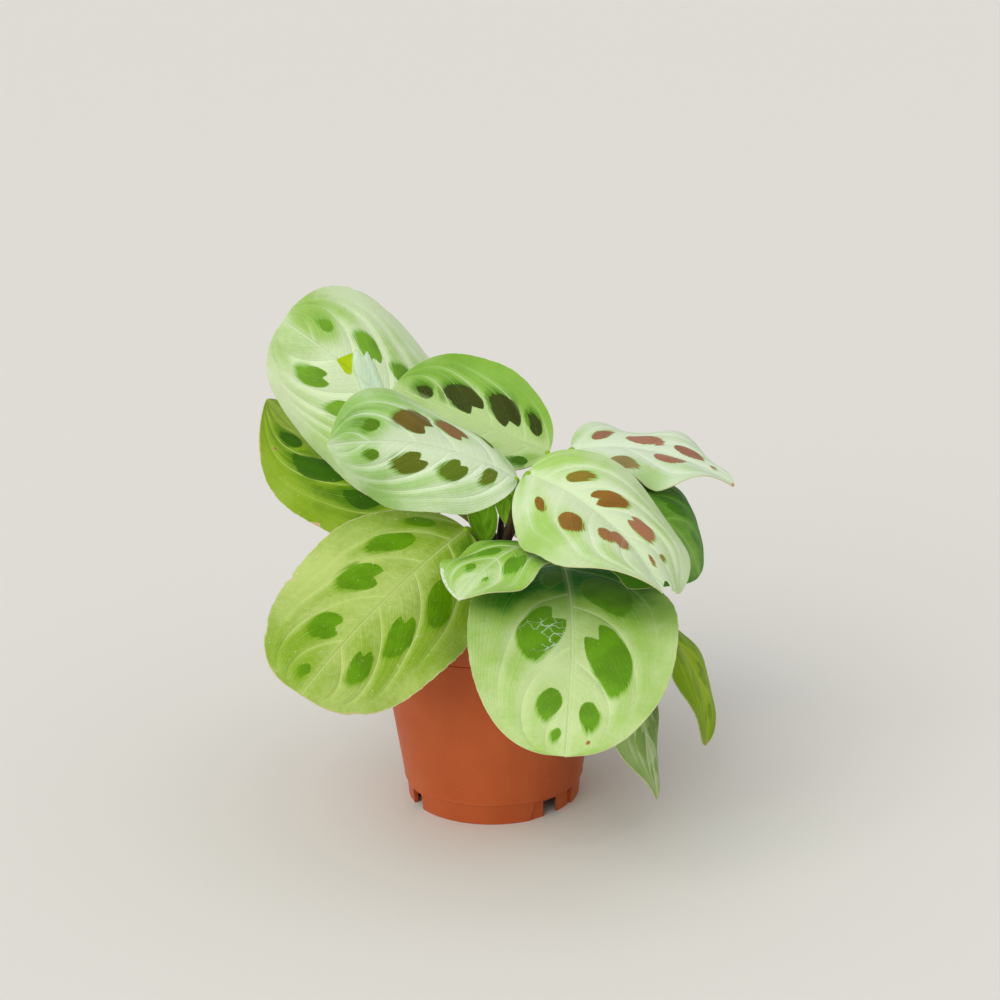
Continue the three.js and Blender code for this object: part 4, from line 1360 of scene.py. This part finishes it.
@dataclass
class Pot:
    """The moulded pot: a tapering shell with a rim band, a floor with drain holes and a notched foot ring.

    notches gives the angle of each notch about the axis, in degrees from the plant's right-hand side. A
    recess starts and ends at its own angles from its notch, and its first end leans by recess_lean degrees.
    below and through are how far the cutters of both reach under the foot and through its ring.
    """

    place: Place
    rim: float = 52.5
    height: float = 90
    foot: float = 39
    foot_height: float = 10
    floor: float = 1.5
    wall: float = 1.5
    skirt: float = 1.8
    band: float = 9.5
    band_step: float = 1.3
    lip: float = 0.7
    inner_lip: float = 0.5
    sides: int = 224
    notch_width: float = 8
    notch_height: float = 7.5
    notch_corner: float = 0.5
    below: float = 1
    through: float = 12
    recess_depth: float = 0.9
    recess_height: float = 8.4
    recess_start: float = -17
    recess_end: float = 21.6
    recess_lean: float = 3
    recess_groove: float = 0.5
    drains: int = 6
    drain_radius: float = 4
    drain_circle: float = 24
    notches: tuple[tuple[float, NotchKind], ...] = (
        (209, NotchKind.PLAIN), (311, NotchKind.RECESSED), (29, NotchKind.PLAIN), (131, NotchKind.RECESSED))

    def _wall_at(self, z: float, inset: float = 0) -> tuple[float, float]:
        """Gives the outer wall's point at a height between foot ring and rim band, inset by some length."""
        top = self.rim - self.band_step - 0.3
        low = self.foot + 1.6
        share = (z - self.foot_height) / (self.height - self.band - self.foot_height)
        return low + (top - low) * share - inset, z

    def _profile(self) -> Outline:
        """Lists the shell's radii and heights, from its underside's edge round to its floor's edge."""
        band_low = self.height - self.band
        floor_low = self.foot_height - self.floor / 2
        floor_top = self.foot_height + self.floor / 2
        skirt = self.foot - self.skirt
        inner = self.rim - self.wall - 0.2
        bead = self.foot_height + 0.1
        foot_ring = (
            (skirt - 1, floor_low),
            (skirt + 0.1, floor_low - 0.7),
            (skirt, 0.25),
            (skirt + 0.25, 0),
            (self.foot - 0.45, 0),
            (self.foot - 0.12, 0.12),
            (self.foot, 0.45),
            (self.foot + 0.7, bead - 1),
            (self.foot + 0.95, bead - 0.5),
            (self.foot + 1.62, bead - 0.25),
            (self.foot + 1.8, bead),
            (self.foot + 1.72, bead + 0.3),
        )
        outer_wall = (
            self._wall_at(bead + 0.6),
            self._wall_at(bead + 3),
            self._wall_at(self.height / 2),
            self._wall_at(band_low - 2),
            self._wall_at(band_low - 1.1, 0.1),
        )
        groove, _ = self._wall_at(band_low, 0.75)
        rim_band = (
            (groove, band_low - 0.75),
            (groove, band_low - 0.12),
            (self.rim - 0.62, band_low - 0.1),
            (self.rim - 0.4, band_low + 0.06),
            (self.rim - 0.3, band_low + 0.4),
            (self.rim - 0.1, self.height - 3),
        )
        lip = ((self.rim - self.lip * (1 - math.cos(a)), self.height - self.lip * (1 - math.sin(a)))
               for a in np.linspace(0, math.pi / 2, 6))
        bend = self.inner_lip
        inner_lip = ((inner + bend * (1 - math.cos(a)), self.height - bend * (1 - math.sin(a)))
                     for a in np.linspace(math.pi / 2, 0, 5))
        step, _ = self._wall_at(band_low, self.wall)
        inner_wall = (
            (inner - 0.3, band_low),
            (step, band_low - 1.5),
            self._wall_at(self.height / 2, self.wall),
            self._wall_at(floor_top + 2, self.wall),
            self._wall_at(floor_top, self.wall + 1.4),
        )
        return *foot_ring, *outer_wall, *rim_band, *lip, *inner_lip, *inner_wall

    def _cut(self, piece: Piece, cutter: Piece) -> None:
        """Cuts one solid out of the pot and removes the cutter."""
        apply_modifier(piece, "BOOLEAN", operation="DIFFERENCE", object=cutter, solver="EXACT")
        bpy.data.objects.remove(cutter)

    def _notch(self, angle: float) -> Piece:
        """Makes the cutter of one notch: a block with rounded edges, at an angle in degrees."""
        deselect_all()
        bpy.ops.mesh.primitive_cube_add(size=1)
        cutter = take_new("notch_cutter")
        tall = self.notch_height + 2 * self.below
        size = np.array([self.through, self.notch_width, tall])
        points = read_points(cutter.data) * size + (self.foot, 0, self.notch_height - tall / 2)
        turn = np.radians(angle)
        spun = np.array([[np.cos(turn), np.sin(turn), 0], [-np.sin(turn), np.cos(turn), 0], [0, 0, 1]])
        write_points(cutter.data, self.place.metres(points @ spun))
        apply_modifier(cutter, "BEVEL", width=self.notch_corner * MM, segments=3)
        return cutter

    def _recess(self, angle: float) -> Piece:
        """Makes the cutter of one recess: a curved block whose first end leans, with a groove at its last."""
        deselect_all()
        bpy.ops.mesh.primitive_grid_add(x_subdivisions=40, y_subdivisions=1, size=1)
        cutter = take_new("recess_cutter")
        apply_modifier(cutter, "SOLIDIFY", thickness=1.0, offset=0)
        round_share, up, out = (read_points(cutter.data) + 0.5).T
        first = self.recess_start + self.recess_lean * up
        turn = np.radians(angle + first + (self.recess_end - first) * round_share)
        inner = self.foot - self.recess_depth - smooth(round_share, 0.93, 0.95) * self.recess_groove
        radius = inner + (self.foot + self.through / 2 - inner) * out
        height = (self.recess_height + self.below) * up - self.below
        placed = np.stack([radius * np.cos(turn), radius * np.sin(turn), height], axis=-1)
        write_points(cutter.data, self.place.metres(placed))
        close_mesh(cutter)
        return cutter

    def _drain(self, turn: float) -> Piece:
        """Makes the cutter of one drain hole, at an angle in radians."""
        at = (self.drain_circle * math.cos(turn), self.drain_circle * math.sin(turn), self.foot_height)
        deselect_all()
        bpy.ops.mesh.primitive_cylinder_add(vertices=40, radius=self.drain_radius * MM,
                                            depth=4 * self.floor * MM, location=Vector(self.place.metres(at)))
        cutter = take_new("drain_cutter")
        bpy.ops.object.transform_apply(location=True, rotation=True, scale=True)
        return cutter

    def build(self) -> None:
        """Makes the pot, with its notches, recesses and drain holes."""
        piece = turned("pot_shell", self.place, self.sides, self._profile())
        for angle, kind in self.notches:
            if kind is NotchKind.RECESSED:
                self._cut(piece, self._recess(angle))
            self._cut(piece, self._notch(angle))
        for index in range(self.drains):
            self._cut(piece, self._drain((index + 0.5) * 2 * math.pi / self.drains))
        smooth_faces(piece, angle=32)
        give_materials(piece, pot_material())
        settle(piece, "pot_plastic", "pot")


def pot_material() -> bpy.types.Material:
    """Makes the pot's finish: satin terracotta-coloured plastic with faint flow marks, scuffs and dust."""
    graph = Graph("terracotta_plastic")
    where = graph.place()
    cloud = graph.noise(where, 28, 4)
    flow = graph.noise(where, 90, 3, stretch=(1, 1, 0.12))
    speck = graph.noise(where, 900, 2)
    relief = graph.math("ADD", graph.noise(where, 1600, 2), graph.math("MULTIPLY", flow, 0.6))
    graph.surface(
        Base_Color=graph.layers(
            (190, 92, 46),
            (graph.ease(cloud, 0.3, 0.72), (180, 84, 40)),
            (graph.ease(flow, 0.45, 0.75, 0, 0.3), (196, 100, 54)),
            (graph.ease(speck, 0.66, 0.78, 0, 0.35), (206, 132, 90)),
            (graph.ease(speck, 0.34, 0.22, 0, 0.4), (120, 58, 32)),
        ),
        Roughness=graph.ease(cloud, 0.3, 0.7, 0.42, 0.54),
        Specular_IOR_Level=0.2,
        Subsurface_Weight=0.05,
        Subsurface_Scale=0.001,
        Normal=graph.bump(relief, 0.00004),
    )
    return graph.material


# ---- Soil ------------------------------------------------------------------------------------------------


@dataclass
class Soil:
    """The potting soil: one body that fills the pot, and loose crumbs on it."""

    place: Place
    top: float = 79
    mound: float = 3
    edge: float = 48.3
    bottom: float = 11.05
    bottom_radius: float = 37.5
    sides: int = 180
    rings: int = 60
    crumbs: int = 420
    crumb_sizes: tuple[float, float] = (0.5, 1.5)
    crumb_shapes: tuple[float, float] = (0.55, 1.3)
    large_every: int = 9
    large_scale: float = 1.7
    fine_above: float = 1.3
    seed: int = 7

    def height(self, x: Array, y: Array) -> Array:
        """Gives the surface's height at x and y, in millimetres."""
        inward = np.clip(1 - np.hypot(x, y) / self.edge, 0, 1)
        coarse = np.sin(0.9 * x + 1.3) * np.cos(0.8 * y) + 0.6 * np.sin(1.7 * x - 1.1 * y)
        fine = 0.5 * np.sin(2.9 * x + 1.7 * y) * np.cos(3.3 * y - 0.7 * x) + 0.3 * np.sin(5.1 * y + 4.3 * x)
        return self.top + self.mound * inward + (0.6 * coarse + 0.5 * fine) * np.minimum(1, 6 * inward)

    def _body(self) -> Piece:
        """Makes the soil's body: its side rises from the pot's floor, and its top is a disc of rings."""
        disc = ((self.edge * ring / self.rings, self.top) for ring in range(self.rings, 1, -1))
        piece = turned("soil_body", self.place, self.sides, ((self.bottom_radius, self.bottom), *disc))
        points = (read_points(piece.data) - self.place.origin) / MM
        on_top = points[:, 2] > self.top - 1
        points[on_top, 2] = self.height(points[on_top, 0], points[on_top, 1])
        write_points(piece.data, self.place.metres(points))
        smooth_faces(piece, angle=60)
        return piece

    def _crumbs(self) -> Piece:
        """Scatters crumbs over the surface, and joins them as one piece."""
        draw = np.random.default_rng(self.seed)
        crumbs = []
        for index in range(self.crumbs):
            radius = self.edge * math.sqrt(draw.uniform(0, 0.94))
            turn = draw.uniform(0, 2 * math.pi)
            size = draw.uniform(*self.crumb_sizes) * (1 if index % self.large_every else self.large_scale)
            x, y = radius * math.cos(turn), radius * math.sin(turn)
            deselect_all()
            bpy.ops.mesh.primitive_ico_sphere_add(subdivisions=1 if size < self.fine_above else 2, radius=1)
            crumb = take_new("crumb")
            shape = read_points(crumb.data) * draw.uniform(*self.crumb_shapes, 3) * size
            shape *= 1 + 0.25 * np.sin(shape @ draw.uniform(-3, 3, (3, 1)))
            z = float(self.height(np.array(x), np.array(y))) + 0.15 * size
            write_points(crumb.data, self.place.metres(shape + (x, y, z)))
            crumbs.append(crumb)
        choose(crumbs[0])
        for crumb in crumbs:
            crumb.select_set(True)
        bpy.ops.object.join()
        return take_new("soil_crumbs")

    def build(self) -> None:
        """Makes the soil's body and its crumbs, with one finish."""
        finish = soil_material()
        body = self._body()
        give_materials(body, finish)
        settle(body, "potting_soil", "soil")
        crumbs = self._crumbs()
        give_materials(crumbs, finish)
        settle(crumbs, "potting_soil")


def soil_material() -> bpy.types.Material:
    """Makes the soil's finish: damp dark peat with paler fibres and grit."""
    graph = Graph("potting_soil")
    where = graph.place()
    cloud = graph.noise(where, 260, 5)
    fibre = graph.noise(where, 700, 4, stretch=(1, 0.3, 1))
    graph.surface(
        Base_Color=graph.layers(
            (36, 24, 18),
            (graph.ease(cloud, 0.3, 0.7), (64, 44, 32)),
            (graph.ease(fibre, 0.58, 0.72, 0, 0.6), (104, 76, 52)),
            (graph.ease(graph.cells(where, 900), 0.16, 0.05, 0, 0.5), (128, 112, 92)),
        ),
        Roughness=0.95,
        Specular_IOR_Level=0.2,
        Normal=graph.bump(graph.math("ADD", cloud, fibre), 0.0008),
    )
    return graph.material


# ---- Stage, light and camera -----------------------------------------------------------------------------


@dataclass
class Studio:
    """A plain pale floor, soft light from the upper left and a camera at the photograph's viewing angle."""

    place: Place
    distance: float = 1000
    focal_length: float = 81.8
    sensor_width: float = 36
    elevation: float = 18.2
    roll: float = -0.95
    look_at: Point = (4.9, 0, 138.6)
    floor_size: float = 24
    floor_colour: Colour = (230, 228, 221)
    sky_colour: Colour = (240, 240, 241)
    sky_strength: float = 0.66

    def camera(self) -> None:
        """Places the camera that was fitted to the photograph."""
        tilt = math.radians(self.elevation)
        lean = math.radians(self.roll)
        ahead = Vector((0, math.cos(tilt), -math.sin(tilt)))
        level = Vector((1, 0, 0))
        upright = level.cross(ahead)
        right = math.cos(lean) * level + math.sin(lean) * upright
        up = -math.sin(lean) * level + math.cos(lean) * upright
        target = Vector(self.place.metres(self.look_at))
        data = bpy.data.cameras.new("camera")
        data.lens = self.focal_length
        data.sensor_width = self.sensor_width
        camera = bpy.data.objects.new("camera", data)
        bpy.context.collection.objects.link(camera)
        turn = Matrix((right, up, -ahead)).transposed().to_4x4()
        camera.matrix_world = Matrix.Translation(target - ahead * self.distance * MM) @ turn
        bpy.context.scene.camera = camera

    def floor(self) -> None:
        """Lays a wide pale floor just under the pot's foot."""
        deselect_all()
        bpy.ops.mesh.primitive_plane_add(size=self.floor_size, location=(0, 0, 0))
        piece = take_new("floor")
        graph = Graph("pale_floor")
        graph.surface(Base_Color=linear(self.floor_colour), Roughness=0.6, Specular_IOR_Level=0.25)
        give_materials(piece, graph.material)

    def _sun(self, name: str, towards: Point, spread: float, strength: float, colour: Colour) -> None:
        """Adds one broad, even light.

        Args:
            name: The light's name.
            towards: The direction in which it lies, seen from the plant.
            spread: The angle in degrees over which it spreads.
            strength: Its strength in watts for each square metre.
            colour: Its colour.
        """
        data = bpy.data.lights.new(name, "SUN")
        data.angle = math.radians(spread)
        data.energy = strength
        data.color = linear(colour)[:3]
        light = bpy.data.objects.new(name, data)
        bpy.context.collection.objects.link(light)
        light.rotation_euler = Vector(towards).to_track_quat("Z", "Y").to_euler()

    def lights(self) -> None:
        """Adds a broad key light from the front left, a weak one from above and an even pale sky."""
        self._sun("key", (-1000, -1250, 1150), spread=55, strength=1.5, colour=(255, 252, 247))
        self._sun("top", (100, -200, 1500), spread=90, strength=0.3, colour=(252, 253, 255))
        world = bpy.data.worlds.new("studio")
        world.use_nodes = True
        sky = world.node_tree.nodes["Background"]
        sky.inputs["Color"].default_value = linear(self.sky_colour)
        sky.inputs["Strength"].default_value = self.sky_strength
        bpy.context.scene.world = world
        bpy.context.scene.view_settings.view_transform = "Standard"


def corners(box: tuple[Vector, Vector]) -> list[list[float]]:
    """Turns a box's two corners into plain lists."""
    return [list(corner) for corner in box]


def main() -> None:
    """Builds the plant's pieces in order, then the stage."""
    logging.basicConfig(level=logging.INFO, format="%(name)s: %(message)s")
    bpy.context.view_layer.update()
    place = Place()
    studio = Studio(place)
    studio.camera()
    Pot(place).build()
    Soil(place).build()
    StemClump(place).build()
    for leaf in LEAVES:
        Blade(leaf, place).build()
    studio.floor()
    studio.lights()


if __name__ == "__main__":
    main()
